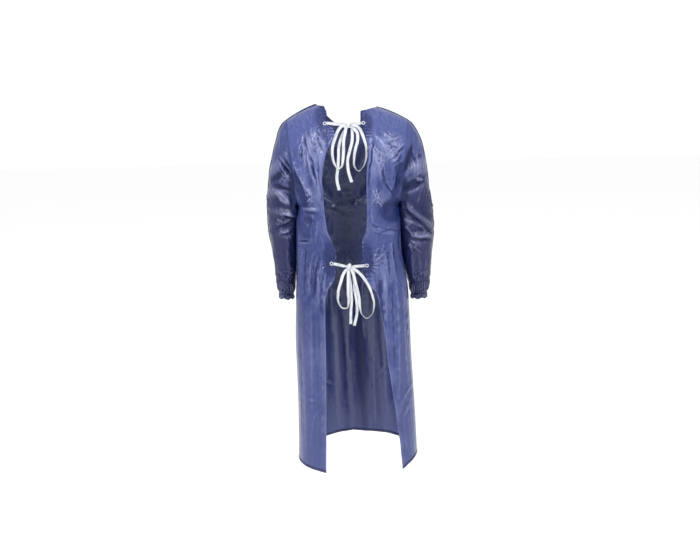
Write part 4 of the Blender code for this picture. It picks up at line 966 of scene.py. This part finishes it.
def makeBack(side, settings):
    # The panel's form, plus its cloth's height, gathers and ruffles along its normals. The outer column is
    # drawn in under the front panel.
    tables, seed = settings[side], settings["seeds"][side]
    shares = columnShares(side, 1, settings["columns"], settings["crowding"])
    base = panelHalf(side, 1, shares, backLevels, backShares)
    normals = normalsOf(base, False)
    fromEdge, fromSeam = lengthsFromFirst(base, 1), lengthsFromLast(base, 1)
    down, fromTop = lengthsFromFirst(base, 0), lengthsFromLast(base, 0)
    x, z = base[..., 0], base[..., 2]
    upper = smoothStep(-0.70, -0.45, z)
    parts = {"folds": 0.62 + 0.30 * upper, "crinkle": 0.22 + 0.78 * upper, "streaks": 1 - 0.55 * upper}
    distances = (fromEdge, down, fromSeam, fromTop)
    height = panelHeight(base, normals, settings, tables, distances, parts, seed)
    height += gatherHeights(base, tables["gathers"]) + edgeRuffles(fromEdge, z, tables["ruffles"], seed + 5)
    points = base + normals * height[..., None]
    under = smoothStep(-0.345, -0.362, z[:, -1]) * smoothStep(0.008, 0.020, down[:, -1])
    inward, forward = settings["under"]
    points[:, -1] -= under[:, None] * np.array((sides[side] * inward, forward, 0.0))
    # Painted shade in the troughs and painted highlight on the crests.
    shaded, crestHighlight = foldShade(height, False, *settings["shade"])
    # Painted shade along the outer edge, where the back meets the front and the sleeve.
    seam = bell(fromSeam, settings["seam"]) * (0.62 + 0.50 * latticeNoise(down / 0.030, down * 0, seed + 6))
    # Painted shade in the gathers along the neck edge and the top near the neck.
    neckline = smoothStep(-0.092, -0.070, z) * bell(fromEdge, settings["neckShadeEdge"])
    nearNeck = smoothStep(cut["neckX"] + 0.010, cut["neckX"] - 0.006, np.abs(x))
    neckline += bell(fromTop, settings["neckShadeTop"]) * nearNeck
    neckline *= 0.75 + 0.45 * latticeNoise(z / 0.009, x / 0.009, seed + 7)
    fold = shaded + seam * settings["seamShade"][side] + neckline
    # Painted shadow in the listed spots.
    fold += sumOver(spotAt, base, normals, tables["inShadow"])
    # Painted highlight on the crests and in its own spots, less where shade is painted.
    paintedHighlight = crestHighlight * settings["crestHighlight"] + sumOver(spotAt, base, normals, tables["paintedHighlight"])
    paintedHighlight -= fold * shadeStyle["highlightLoss"]
    # Paler along the open edge below the neck.
    paintedHighlight += 0.20 * np.exp(-fromEdge / 0.006) * smoothStep(-0.13, -0.16, z)
    return *makePanel("back_" + side, "back_panel_" + side, points, fold, paintedHighlight, settings["wall"]), base


backs = {side: makeBack(side, backSettings) for side in sides}
print("back panels made")

frontSettings = {
    "columns": 76, "wall": 0.0006, "crinkle": 0.0007, "crinkleCell": (0.016, 0.030),
    "streaks": 0.0007, "streakCells": ((0.012, 0.20), (0.028, 0.35)), 
    "puckers": (0.011, 0.018, 0.0012, 0.0024), "seam": 0.0022, "seamShade": 0.8, "seed": 300,
    "shade": (0.0016, 0.0055), "crestHighlight": 0.30,
    "folds": {"front": (
        (-150, -180, -60, -330, 18, 9.6), (155, -170, 70, -340, 18, 9.6), (-85, -120, -30, -260, 16, 7.2),
        (80, -110, 35, -250, 16, 7.2), (-160, -500, -80, -720, 21, 9.6), (155, -490, 90, -730, 21, 9.6),
        (-120, -560, -130, -1240, 25, 11.2), (60, -600, 55, -1235, 25, 11.2),
        (-30, -620, -40, -1235, 25, -9.6), (140, -640, 150, -1240, 25, -9.6))},
    "creases": {"front": (
        (-166, -150, -110, -262, -6, 6, 5, 0.2), (-150, -148, -90, -240, -5, 6, -4.4),
        (-120, -110, -60, -205, -4, 6, 3.6, 0.2), (170, -140, 104, -255, 6, 6, 5, 0.2),
        (152, -150, 86, -262, 5, 6, -4.4), (114, -104, 52, -190, 4, 6, 3.6),
        (-140, -300, -20, -352, 8, 7, 3.6, 0.2), (146, -310, 40, -362, -8, 8.5, 3, 0.2),
        (130, -345, 20, -392, -6, 6, -3.4), (-150, -392, -50, -428, 6, 6, 3.4),
        (-164, -455, -66, -474, 6, 9, 3, -0.2), (-150, -470, -74, -488, 5, 8, -2.8),
        (160, -448, 82, -478, -6, 9, 3, 0.2), (150, -505, 30, -515, 6, 6, 3.4),
        (-148, -520, -112, -700, 8, 8, 4, 0.2), (-96, -530, -70, -760, 6, 7, -3.6),
        (-50, -540, -46, -860, 4, 8, 3.4, 0.2), (10, -560, 16, -940, -4, 8, 3),
        (82, -540, 70, -840, -6, 8, 3.6), (118, -530, 106, -780, -6, 7, -3.6, 0.2),
        (152, -560, 146, -900, -4, 8, 3.4), (-156, -700, -166, -1180, 4, 9, 2.8),
        (-82, -800, -88, -1210, 3, 9, 2.6), (22, -880, 14, -1220, 3, 9, -2.4),
        (104, -860, 110, -1200, 3, 9, 2.6), (-24, -700, 14, -735, 0, 5, 2.6, 0.2),
        (120, -1010, 78, -1048, 3, 5, 2.4), (-140, -960, -104, -1002, 3, 5, 2.4, 0.2)),
        "left": (
        (-80, -480, -50, -700, 4, 8, 1.8), (-70, -760, -60, -1150, 4, 10, 1.62)),
        "right": (
        (-80, -500, -50, -740, 4, 8, 1.8), (-75, -780, -60, -1160, 4, 10, 1.62))},
    "crush": {"front": (
        (-90, -230, 60, 70, 20, 12, 0.7, 71), (95, -230, 60, 70, -20, 13, 0.8, 73),
        (0, -340, 90, 60, 0, 15, 1.3, 79), (-80, -480, 70, 50, 0, 12, 1, 83),
        (100, -490, 70, 50, 0, 11, 0.7, 89), (0, -720, 70, 70, 0, 15, 0.9, 97),
        (100, -1030, 60, 60, 0, 14, 0.9, 101), (-120, -980, 60, 60, 0, 14, 0.8, 103))},
    "strands": {"front": (
        (-125, -205, 50, 85, 27, 11, 60, 1.6, 831), (132, -188, 46, 90, -31, 10, 70, 1.6, 833),
        (6, -330, 90, 40, 78, 10.5, 60, 1.2, 839), (-90, -600, 60, 120, 7, 11, 80, 1.3, 835),
        (64, -640, 70, 130, -5, 12, 90, 1.3, 837))},
    "inShadow": {"front": (
        (0, -95, 60, 16, 0, 0.35),)},
    "paintedHighlight": {"front": (
        (0, -220, 160, 110, 0, 0.16), (0, -800, 150, 300, 0, 0.08))},
}
frontLevels = np.concatenate((np.linspace(0, 0.70, 108)[:-1], np.linspace(0.70, 1.0, 66)))
frontShares = np.concatenate((np.linspace(0, 0.96, 84), (0.972, 0.982, 0.990, 0.996, 1.0)))


def makeFront(settings):
    # Two halves that meet at the middle, with their cloth's height, from side seam to side seam.
    halves = {side: panelHalf(side, -1, columnShares(side, -1, settings["columns"], 1.0), frontLevels,
                              frontShares) for side in sides}
    base = np.concatenate((halves["right"][:, :0:-1], halves["left"]), axis=1)
    normals = normalsOf(base, False)
    across = lengthsFromFirst(base, 1)
    fromSeam = np.minimum(across, lengthsFromLast(base, 1))
    down, fromTop = lengthsFromFirst(base, 0), lengthsFromLast(base, 0)
    z = base[..., 2]
    parts = {"folds": 1.0, "crinkle": 0.3 + 0.7 * smoothStep(-0.75, -0.50, z),
             "streaks": smoothStep(-0.40, -0.70, z)}
    height = panelHeight(base, normals, settings, settings, (across, down, fromSeam, fromTop), parts,
                         settings["seed"])
    # Painted shade in the troughs, along both side seams and in the listed spot.
    shaded, crestHighlight = foldShade(height, False, *settings["shade"])
    fold = shaded + settings["seamShade"] * bell(fromSeam, settings["seam"])
    fold += sumOver(spotAt, base, normals, settings["inShadow"])
    # Painted shade along the top edge, at the shoulders and the neckline.
    fold += 0.4 * np.exp(-fromTop / 0.030) + 0.6 * np.exp(-fromTop / 0.007)
    # Painted highlight on the crests and in its own spots.
    paintedHighlight = crestHighlight * settings["crestHighlight"] + sumOver(spotAt, base, normals, settings["paintedHighlight"])
    paintedHighlight -= fold * shadeStyle["highlightLoss"]
    return makePanel("front", "front_panel", base + normals * height[..., None], fold, paintedHighlight, settings["wall"])


front, frontEdge = makeFront(frontSettings)
print("front panel made")


# Sleeves and cuffs

ringColumns = ("outerX", "outerZ", "innerX", "innerZ", "middle", "halfDepth")
sleeveRings = {side: np.array(rows) / 1000 for side, rows in {
    "left": (
        (214, -60, 179, -351, 0, 77), (229, -81, 182, -362, -2, 74), (243, -122, 183, -376, -6, 72),
        (258, -176, 183, -394, -11, 70), (271, -238, 182, -415, -16, 69), (280, -305, 180, -440, -25, 68),
        (284, -368, 180, -470, -31, 67), (283, -426, 181, -503, -35, 65), (276, -476, 183, -535, -38, 62),
        (271, -522, 186, -567, -40, 58), (266, -564, 190, -596, -42, 54), (265, -602, 194, -620, -44, 49)),
    "right": (
        (214, -66, 179, -351, 0, 77), (231, -88, 182, -362, -2, 74), (249, -124, 181, -377, -6, 72),
        (264, -180, 179, -396, -11, 70), (274, -245, 177, -418, -16, 69), (284, -315, 176, -444, -25, 68),
        (292, -376, 176, -474, -31, 67), (296, -438, 179, -508, -35, 66), (293, -492, 183, -540, -38, 63),
        (289, -540, 190, -572, -40, 59), (287, -580, 199, -602, -42, 54), (285, -614, 208, -629, -44, 49)),
}.items()}
cuffRings = {side: np.array(rows) / 1000 for side, rows in {
    "left": (
        (265, -602, 194, -620, -44, 49), (263, -621, 197, -636, -46, 46), (261, -640, 200, -651, -48, 42),
        (255, -660, 206, -667, -50, 34), (256, -677, 204, -681, -51, 37)),
    "right": (
        (285, -614, 208, -629, -44, 49), (284, -632, 211, -644, -46, 46), (281, -650, 214, -658, -48, 42),
        (274, -668, 220, -673, -50, 34), (275, -685, 218, -688, -51, 37)),
}.items()}
sleeveSettings = {
    "around": 168, "rows": 176, "wall": 0.0006, "crinkle": 0.0006, "gap": 0.0006, "under": 0.0035,
    "blend": 6, "armholeDepth": 0.080, "leadIn": (0.0, 0.15, 0.35, 0.6, 0.8), "foldShare": 0.9,
    "tucks": ((0.0050, -0.366, 0.018), (0.0032, -0.354, 0.008)), "drawnUnder": 0.016,
    "ripple": (3.4, 0.020, 0.040), "streaks": 0.0010, "streaksFrom": (0.26, 0.36), "streakCell": (4.2, 0.14),
    "armRadius": 0.08, "puckers": (0.011, 0.020, 0.0034), "gathers": 0.0007, "gathersReach": 0.020,
    "seam": 0.0022, "shade": (0.0013, 0.0050), "crestHighlight": 0.36,
    "seeds": {"left": 400, "right": 500}, "seamShade": {"left": 0.6, "right": 0.2},
    "left": {
        "folds": {"back": (
            (196, -160, 262, -235, 14, 9.6), (192, -215, 270, -255, 14, -9.6),
            (200, -275, 272, -300, 15, 11.2), (184, -370, 262, -352, 15, 11.2),
            (190, -405, 255, -425, 14, -9.6), (190, -455, 250, -430, 14, 8)),
            "front": (
            (200, -240, 270, -330, 15, 9.6), (185, -400, 262, -360, 15, 9.6),
            (186, -430, 255, -425, 14, -9.6), (188, -500, 250, -455, 14, 8)),
            "right": (
            (-40, -385, 30, -385, 34, 6.2),)},
        "creases": {"back": (
            (218, -166, 190, -214, 2, 4.4, -5), (224, -180, 188, -248, 3, 4.4, -6),
            (220, -174, 189, -230, 2, 4, 4.6, 0.2), (226, -192, 192, -262, 3, 4.4, 5, 0.2),
            (234, -206, 211, -248, 2, 5, 4.6, 0.2), (243, -268, 185, -288, 3, 7, -8),
            (245, -280, 194, -344, -6, 9, 9, 0.2), (208, -296, 192, -344, -2, 6, -7),
            (226, -362, 182, -375, 2, 5, 6.4, -0.2), (226, -374, 184, -386, 2, 5, -5),
            (246, -383, 224, -399, 2, 5.6, 5.6, 0.2), (240, -424, 188, -378, -3, 5.6, 7, -0.3),
            (240, -413, 194, -398, 0, 5, -5), (239, -430, 202, -421, 2, 5, 6, 0.2),
            (234, -441, 196, -436, 0, 5, -5), (216, -456, 210, -580, 3, 8, 2),
            (228, -450, 222, -590, 3, 7, -2.2), (250, -490, 244, -600, 2, 8, 1.8),
            (200, -470, 198, -600, 0, 7, -3), (222, -604, 200, -560, 2, 6, 4.4)),
            "left": (
            (30, -130, -14, -200, 4, 7, 1.8, 0.2), (-40, -150, -12, -232, 4, 7, 1.62),
            (32, -262, -48, -282, 6, 7, -2.7), (26, -288, -60, -320, 6, 8, 2.97, 0.2),
            (20, -352, -66, -344, -6, 7, 2.7), (16, -384, -70, -410, 6, 7, 3.15, 0.2),
            (18, -398, -60, -424, 6, 6, -2.52), (10, -440, -72, -438, -6, 7, 2.7),
            (-10, -470, -16, -590, 3, 9, 1.98), (-40, -480, -42, -594, -3, 8, -1.98),
            (-66, -470, -62, -590, 3, 8, 1.98)),
            "front": (
            (262, -220, 204, -262, 4, 7, 5, 0.2), (266, -300, 196, -352, 6, 8, 7),
            (264, -318, 196, -370, 5, 6, -6), (262, -388, 190, -396, 4, 7, 7, 0.2),
            (258, -430, 192, -462, 5, 7, 6), (240, -480, 232, -600, 3, 8, 4),
            (216, -490, 212, -600, 3, 8, -4))},
        "crush": {"back": (
            (204, -146, 16, 20, 0, 7, 3, 107), (216, -236, 30, 34, 20, 9, 3.4, 109),
            (222, -314, 22, 34, -20, 8, 2.8, 113), (226, -400, 40, 46, 0, 12, 3.4, 127),
            (225, -590, 50, 36, 0, 10, 3.2, 139)),
            "left": (
            (-20, -330, 50, 90, 0, 15, 3.4, 131),),
            "front": (
            (232, -360, 40, 90, 0, 14, 3.4, 137),)},
        "strands": {"back": (
            (214, -220, 26, 44, -27, 7.5, 34, 1.6, 821), (222, -315, 28, 38, -38, 8.5, 32, 1.3, 823)),
            "front": (
            (230, -300, 34, 70, 40, 10, 40, 1.6, 824),)},
        "inShadow": {"back": (
            (188, -300, 18, 110, 0, 1.2), (191, -480, 20, 130, 0, 1.1), (218, -276, 36, 10, 15, 0.8),
            (240, -520, 40, 110, 0, 0.3))},
        "paintedHighlight": {"back": (
            (220, -312, 20, 36, -38, 0.75), (216, -238, 24, 26, 20, 0.3), (214, -366, 22, 9, -10, 0.4),
            (222, -426, 22, 10, 10, 0.4))},
    },
    "right": {
        "folds": {"back": (
            (-185, -290, -262, -250, 13, -11.2), (-190, -235, -255, -205, 15, 8.8),
            (-190, -335, -280, -430, 14, 11.2), (-200, -390, -275, -470, 14, -8),
            (-192, -420, -280, -415, 15, 9.6), (-196, -500, -250, -470, 14, 7.2)),
            "front": (
            (-198, -220, -272, -300, 15, 9.6), (-184, -410, -270, -350, 15, 9.6),
            (-186, -450, -270, -430, 14, -9.6), (-190, -520, -262, -480, 14, 8)),
            "left": (
            (-40, -385, 30, -385, 34, 6.6),)},
        "creases": {"back": (
            (-207, -186, -188, -236, -2, 5.4, -6.4), (-199, -216, -215, -233, 1, 4.4, 4.4),
            (-214, -152, -225, -198, 2, 4.4, -4), (-231, -254, -258, -264, 1, 5, 5.2, 0.2),
            (-188, -297, -258, -266, 2, 5.4, -8.2), (-190, -308, -256, -278, 2, 5.4, 4),
            (-255, -278, -232, -340, 3, 7, 3.4), (-184, -332, -214, -380, 2, 5, -5.6),
            (-190, -350, -289, -437, -4, 5.4, 5.6, -0.2), (-186, -362, -287, -450, -4, 5, -6.4),
            (-184, -390, -228, -411, 2, 5, 4.6), (-194, -420, -219, -456, -3, 5.6, 7, 0.2),
            (-215, -455, -286, -463, -3, 5.6, 7.4, -0.2), (-213, -468, -284, -475, -2, 5, -6),
            (-205, -484, -226, -496, 2, 4.4, 4, 0.2), (-228, -492, -249, -514, 2, 4.4, 3.8),
            (-218, -510, -224, -604, 3, 7, 1.4), (-245, -505, -251, -604, 3, 7, 1.6),
            (-232, -510, -238, -604, 3, 6, -1.8), (-268, -482, -266, -612, 2, 8, 1.8),
            (-233, -158, -235, -240, 2, 8, 3), (-249, -166, -256, -240, 2, 5, 3)),
            "right": (
            (30, -140, -10, -214, 4, 7, 1.8, 0.2), (-44, -160, -14, -236, 4, 7, 1.62),
            (34, -270, -50, -296, 6, 7, -2.88), (26, -290, -60, -318, 6, 8, 2.97, 0.2),
            (20, -370, -68, -352, -6, 7, 2.7), (10, -440, -70, -414, -6, 7, 3.15, 0.2),
            (6, -454, -68, -428, -6, 6, -2.52), (4, -470, -74, -466, -6, 7, 2.88),
            (-10, -500, -16, -604, 3, 9, 1.98), (-40, -500, -42, -606, -3, 8, -1.98),
            (-66, -490, -62, -604, 3, 8, 1.98)),
            "front": (
            (-264, -216, -204, -266, -4, 7, 5, 0.2), (-268, -306, -196, -360, -6, 8, 7),
            (-266, -322, -196, -376, -5, 6, -6), (-272, -400, -192, -410, -4, 7, 7, 0.2),
            (-268, -448, -196, -480, -5, 7, 6), (-256, -500, -250, -612, 3, 8, 4),
            (-228, -500, -226, -612, 3, 8, -4))},
        "crush": {"back": (
            (-250, -446, 46, 24, 8, 8.5, 3.6, 149), (-226, -496, 30, 24, 0, 8, 3.6, 151),
            (-240, -256, 30, 22, 0, 9, 3, 157), (-236, -190, 24, 40, 0, 9, 2.2, 163),
            (-248, -604, 50, 34, 0, 10, 3.2, 179)),
            "right": (
            (-20, -340, 50, 90, 0, 15, 3.4, 167),),
            "front": (
            (-236, -370, 40, 90, 0, 14, 3.4, 173),)},
        "strands": {"back": (
            (-238, -205, 28, 46, 4, 8.5, 40, 1.2, 825), (-236, -405, 42, 52, -50, 9, 45, 1.3, 827)),
            "front": (
            (-232, -310, 36, 70, -38, 10, 40, 1.6, 828),)},
        "inShadow": {"back": (
            (-190, -300, 18, 70, 0, 1.1), (-191, -470, 20, 140, -4, 1.1), (-200, -190, 12, 66, 18, 1.2),
            (-222, -284, 36, 10, -22, 0.9), (-262, -330, 30, 80, 0, 0.25))},
        "paintedHighlight": {"back": (
            (-250, -450, 40, 16, 8, 0.5), (-235, -216, 24, 50, 0, 0.3), (-204, -402, 20, 22, 30, 0.35),
            (-246, -258, 18, 10, 0, 0.35))},
    },
}
cuffSettings = {
    "around": 252, "rows": 34, "wall": 0.0006, "under": 0.0025, "pleats": 34, "seed": 600, "facetSeed": 611,
    "elastic": ((1.0, 0.70, 0.07), (0.7, 0.52, 0.05)), "elasticDepth": 0.0012, "flare": 0.0022,
    "drawnIn": 0.035, "pleatSizes": (0.0016, 0.0016, 0.0010), "crinkle": 0.0010, "shade": (0.0012, 0.0034),
    "fold": 0.52, "crestHighlight": (1.1, -0.14),
}


def anglesRound(count):
    # Even angles once round, from the outer line.
    return np.arange(count) / count * 2 * math.pi


def armholeRing(side, angles):
    # The loop that both panels leave, as heights round the leaning plane.
    tipZ = shoulderHeight(side, cut["tipX"])
    z = (tipZ + cut["underarmZ"]) / 2 + (tipZ - cut["underarmZ"]) / 2 * np.cos(angles)
    distance = outerDistance(side, z)
    swing = np.round(np.sin(angles), 6)
    behind = np.where(swing > 0, bodyY(side, distance, z, 1), 0.0)
    return distance, np.where(swing < 0, bodyY(side, distance, z, -1), behind), z


def tubeAt(side, table, steps, around, blend):
    # Ovals between an outer and an inner line; the first ones keep some of the armhole's shape.
    angles = anglesRound(around)
    swing = np.sign(np.sin(angles)) * np.abs(np.sin(angles)) ** 0.9
    loopY = armholeRing(side, angles)[1] / sleeveSettings["armholeDepth"]
    ring = {name: curveThrough(np.arange(len(table)), np.array(table)[:, column], steps)[:, None]
            for column, name in enumerate(ringColumns)}
    x, z = ((ring["outer" + axis] + ring["inner" + axis]) / 2
            + (ring["outer" + axis] - ring["inner" + axis]) / 2 * np.cos(angles) for axis in ("X", "Z"))
    share = (1 - smoothStep(0, blend, steps + 1))[:, None] if blend else 0.0
    y = ring["middle"] + ring["halfDepth"] * (share * loopY + (1 - share) * swing)
    return np.stack((sides[side] * x, y, z), axis=2)


def evenSteps(table, rows):
    # Steps along the table that put the rows at even distances down its middle line.
    table = np.array(table)
    dense = np.linspace(0, len(table) - 1, 400)
    middle = (table[:, 0:2] + table[:, 2:4]) / 2
    line = np.stack([curveThrough(np.arange(len(table)), axis, dense) for axis in middle.T], axis=1)
    length = lengthsFromFirst(line, 0)
    return np.interp(np.linspace(0, length[-1], rows), length, dense)


def makeSleeve(side, settings):
    # The tube's form, plus relief, facets and puckers along its normals. Its first row lies under the panels,
    # as the seam allowance does, and the tucks draw its inner line towards the side seam under the armhole.
    across, tables, seed = sides[side], settings[side], settings["seeds"][side]
    angles = anglesRound(settings["around"])
    steps = evenSteps(sleeveRings[side], settings["rows"])
    tube = tubeAt(side, sleeveRings[side], steps, settings["around"], settings["blend"])
    distance, y, z = armholeRing(side, angles)
    first = np.stack((across * (distance + settings["gap"]), y, z), axis=1)
    middle = np.array((first[:, 0].mean(), 0.0, first[:, 2].mean()))
    inward = (middle - first) * settings["drawnUnder"] * np.array((0, 1, 1))
    under = first + inward - (across * settings["under"], 0, 0)
    lead = [under] + [first + (tube[0] - first) * share for share in settings["leadIn"]]
    base = np.concatenate((np.array(lead), tube))
    held = sum(depth * bell(base[..., 2] - level, spread) for depth, level, spread in settings["tucks"])
    base[..., 0] -= across * held * ((1 - np.cos(angles)) / 2) ** 6
    normals = normalsOf(base, True)
    fromTop, fromEnd = lengthsFromFirst(base, 0), lengthsFromLast(base, 0)
    fromTop = np.maximum(fromTop - fromTop[1:2], 0.0)
    turn = np.broadcast_to(angles[None], fromTop.shape)
    height = relief(base, normals, tables, settings["foldShare"])
    turns, wide, long = settings["ripple"]
    ripple = facets(np.cos(turn) * turns + fromTop / wide, np.sin(turn) * turns + fromTop / long, seed + 1)
    height += settings["crinkle"] * ripple
    turns, long = settings["streakCell"]
    streaks = latticeNoise(np.cos(turn) * turns + 9, np.sin(turn) * turns + fromTop / long, seed + 2)
    height += settings["streaks"] * smoothStep(*settings["streaksFrom"], fromTop) * streaks
    height += puckers(fromTop, turn * settings["armRadius"], *settings["puckers"], seed + 3)
    height *= smoothStep(0, 0.014, fromTop) * smoothStep(0.0, 0.022, fromEnd)
    wave = np.cos(cuffSettings["pleats"] * turn + 2.2 * np.sin(turn * 3 + 1) + fromEnd / 0.02)
    nearEnd = np.exp(-fromEnd / settings["gathersReach"]) * smoothStep(0.0, 0.006, fromEnd)
    height += settings["gathers"] * wave * nearEnd
    # Painted shade in the troughs and along the armhole seam.
    shaded, crestHighlight = foldShade(height, True, *settings["shade"])
    fold = shaded + settings["seamShade"][side] * bell(fromTop, settings["seam"])
    # Painted shadow in the listed spots and painted shade towards the cuff.
    fold += sumOver(spotAt, base, normals, tables["inShadow"]) + 0.35 * np.exp(-fromEnd / 0.012)
    # Painted shade on the faces turned forward and up.
    fold += 0.45 * smoothStep(0.15, -0.25, normals[..., 1]) * smoothStep(0.1, 0.5, normals[..., 2])
    # Painted highlight on the crests and in its own spots.
    paintedHighlight = crestHighlight * settings["crestHighlight"] + sumOver(spotAt, base, normals, tables["paintedHighlight"])
    paintedHighlight -= fold * shadeStyle["highlightLoss"]
    points = base + normals * height[..., None]
    part = filmPart(points, fold, paintedHighlight, closed=True, normals=normals)
    made = makePiece("film_sleeve_" + side, [part], "sleeve", ["sleeve_" + side], settings["wall"])
    return made, points


def makeCuff(side, settings):
    # A casing drawn in by elastic: uneven pleats round it, deepest at the elastic and flared at the end. Its
    # first row lies inside the sleeve's end.
    table = cuffRings[side]
    steps = np.linspace(0, len(table) - 1, settings["rows"])
    base = tubeAt(side, table, steps, settings["around"], 0)
    ahead = base[1] - base[0]
    base[0] -= ahead / np.linalg.norm(ahead, axis=1, keepdims=True) * settings["under"]
    base[0] += (base[0].mean(axis=0) - base[0]) * settings["drawnIn"]
    normals = normalsOf(base, True)
    turn = np.broadcast_to(anglesRound(settings["around"])[None], base.shape[:2])
    down = np.broadcast_to(np.linspace(0, 1, settings["rows"])[:, None], base.shape[:2])
    drift = 1.5 * np.sin(3 * turn + 4 * down) + 0.9 * np.sin(7 * turn + 1)
    first, lower, last = settings["pleatSizes"]
    size = first + lower * smoothStep(0.0, 0.5, down) + last * smoothStep(0.75, 1.0, down)
    uneven = 0.55 + 0.6 * latticeNoise(np.cos(turn) * 3 + 5, np.sin(turn) * 3 + down * 2, settings["seed"])
    height = size * uneven * np.cos(settings["pleats"] * turn + drift)
    cells = facets(np.cos(turn) * 5 + down * 3, np.sin(turn) * 5 + down * 5, settings["facetSeed"])
    height += settings["crinkle"] * cells
    height *= smoothStep(0.0, 0.10, down)
    elastic = sum(share * bell(down - level, spread) for share, level, spread in settings["elastic"])
    height -= settings["elasticDepth"] * elastic
    points = base + normals * height[..., None]
    waves = np.cos(9 * turn + 2 * np.sin(2 * turn))
    points[..., 2] += settings["flare"] * smoothStep(0.6, 1.0, down) * waves
    shaded, crestHighlight = foldShade(height, True, *settings["shade"])
    # Painted shade: darker all over where the casing is gathered, deepest in the pleats' troughs, at the
    # elastic and
    # under the sleeve's end; painted highlight on the crests.
    fold = settings["fold"] + 0.9 * shaded + 0.25 * elastic + 0.3 * bell(down, 0.04)
    share, start = settings["crestHighlight"]
    part = filmPart(points, fold, share * crestHighlight + start, closed=True, normals=normals)
    return makePiece("film_cuff_" + side, [part], "sleeve", ["cuff_" + side], settings["wall"])


sleeves = {side: makeSleeve(side, sleeveSettings) for side in sides}
cuffs = {side: makeCuff(side, cuffSettings) for side in sides}
print("sleeves and cuffs made")


# Welded flanges on the shoulder seams and down the outer line of the sleeves

flangeSettings = {
    "height": 0.0056, "lean": 0.6, "foot": -0.0006, "wall": 0.0007, "curl": 0.0004, "fold": 0.6,
    "columns": 5, "smoothings": 14, "ends": (6, -2), "paintedHighlight": {"left": 0.45, "right": 0.85},
    "seeds": {"left": 701, "right": 702},
}


def makeFlange(side, back, sleeve, settings):
    # A narrow strip whose foot sits in the seam line. It leans back, has a painted highlight at its foot and
    # painted shade along its free edge, and sways a little.
    shoulder = back[-1, np.abs(back[-1, :, 0]) >= cut["neckX"]]
    ridge = sleeve[:, 0]
    for _ in range(settings["smoothings"]):
        ridge = np.concatenate((ridge[:1], (ridge[:-2] + 2 * ridge[1:-1] + ridge[2:]) / 4, ridge[-1:]))
    overArm = slice(*settings["ends"])
    line = np.concatenate((shoulder, ridge[overArm]))
    upright = np.tile((0.0, 0.0, 1.0), (len(shoulder), 1))
    out = np.concatenate((upright, normalsOf(sleeve, True)[overArm, 0]))
    lean = settings["lean"] * np.array((0.0, 1.0, 0.0)) + (1 - settings["lean"]) * out
    lean /= np.linalg.norm(lean, axis=1, keepdims=True)
    along = lengthsFromFirst(line, 0)
    sway = latticeNoise(along / 0.050, along * 0, settings["seeds"][side])[:, None]
    up = np.linspace(0, 1, settings["columns"])[None]
    outward = settings["foot"] + settings["curl"] * sway * up ** 2
    rise = settings["height"] * up * (0.95 + 0.05 * sway)
    points = line[:, None] + out[:, None] * outward[..., None] + lean[:, None] * rise[..., None]
    part = filmPart(points, settings["fold"] * up, settings["paintedHighlight"][side] * (1 - up),
                    normals=np.broadcast_to(out[:, None], points.shape))
    return makePiece("film_flange_" + side, [part], "weld", ["weld_" + side], settings["wall"], 0.5)


flanges = {side: makeFlange(side, backs[side][2], sleeves[side][1], flangeSettings) for side in sides}
print("flanges made")


# Floor and light

stageSettings = {
    "floorZ": -1.56, "floorSize": 60.0, "floor": (0.96, 0.96, 0.96, 1.0),
    "floorGrain": (0.95, 0.952, 0.955, 1.0),
    "world": (1.0, 1.0, 1.0, 1.0), "worldStrength": 1.02, "target": (0.0, 0.0, -0.35),
}
lightSettings = {
    "leftKey": {"place": (1.9, 3.3, 1.9), "size": (1.3, 1.3), "power": 112.0},
    "rightKey": {"place": (-1.9, 3.3, 1.7), "size": (1.3, 1.3), "power": 102.0},
    "topFill": {"place": (0.0, 0.6, 2.6), "size": (2.4, 1.6), "power": 20.0},
}


def makeStage(settings, lights):
    # A wide pale floor, an even pale surround and soft boxes that look at the garment's middle.
    plane = np.array(((-1, -1, 0), (1, -1, 0), (1, 1, 0), (-1, 1, 0))) * settings["floorSize"] / 2
    mesh = bpy.data.meshes.new("floor")
    mesh.from_pydata((plane + (0, 0, settings["floorZ"])).tolist(), [], [(0, 1, 2, 3)])
    paint = Finish("pale_floor", settings["floor"][:3])
    tone = paint.mixed(paint.noise(paint.place(), 3.0), settings["floor"], settings["floorGrain"])
    mesh.materials.append(paint.end({"Base Color": tone, "Roughness": 0.85}))
    floor = bpy.data.objects.new("floor", mesh)
    bpy.context.collection.objects.link(floor)
    world = bpy.data.worlds.new("surround")
    world.use_nodes = True
    sky = world.node_tree.nodes["Background"]
    sky.inputs["Color"].default_value = settings["world"]
    sky.inputs["Strength"].default_value = settings["worldStrength"]
    bpy.context.scene.world = world
    for name, light in lights.items():
        data = bpy.data.lights.new(name, "AREA")
        data.shape = "RECTANGLE"
        data.size, data.size_y = light["size"]
        data.energy = light["power"]
        lamp = bpy.data.objects.new(name, data)
        lamp.location = light["place"]
        ahead = Vector(settings["target"]) - Vector(light["place"])
        lamp.rotation_euler = ahead.to_track_quat("-Z", "Y").to_euler()
        bpy.context.collection.objects.link(lamp)


makeStage(stageSettings, lightSettings)
bpy.context.scene.view_settings.view_transform = "Standard"
print("stage made")
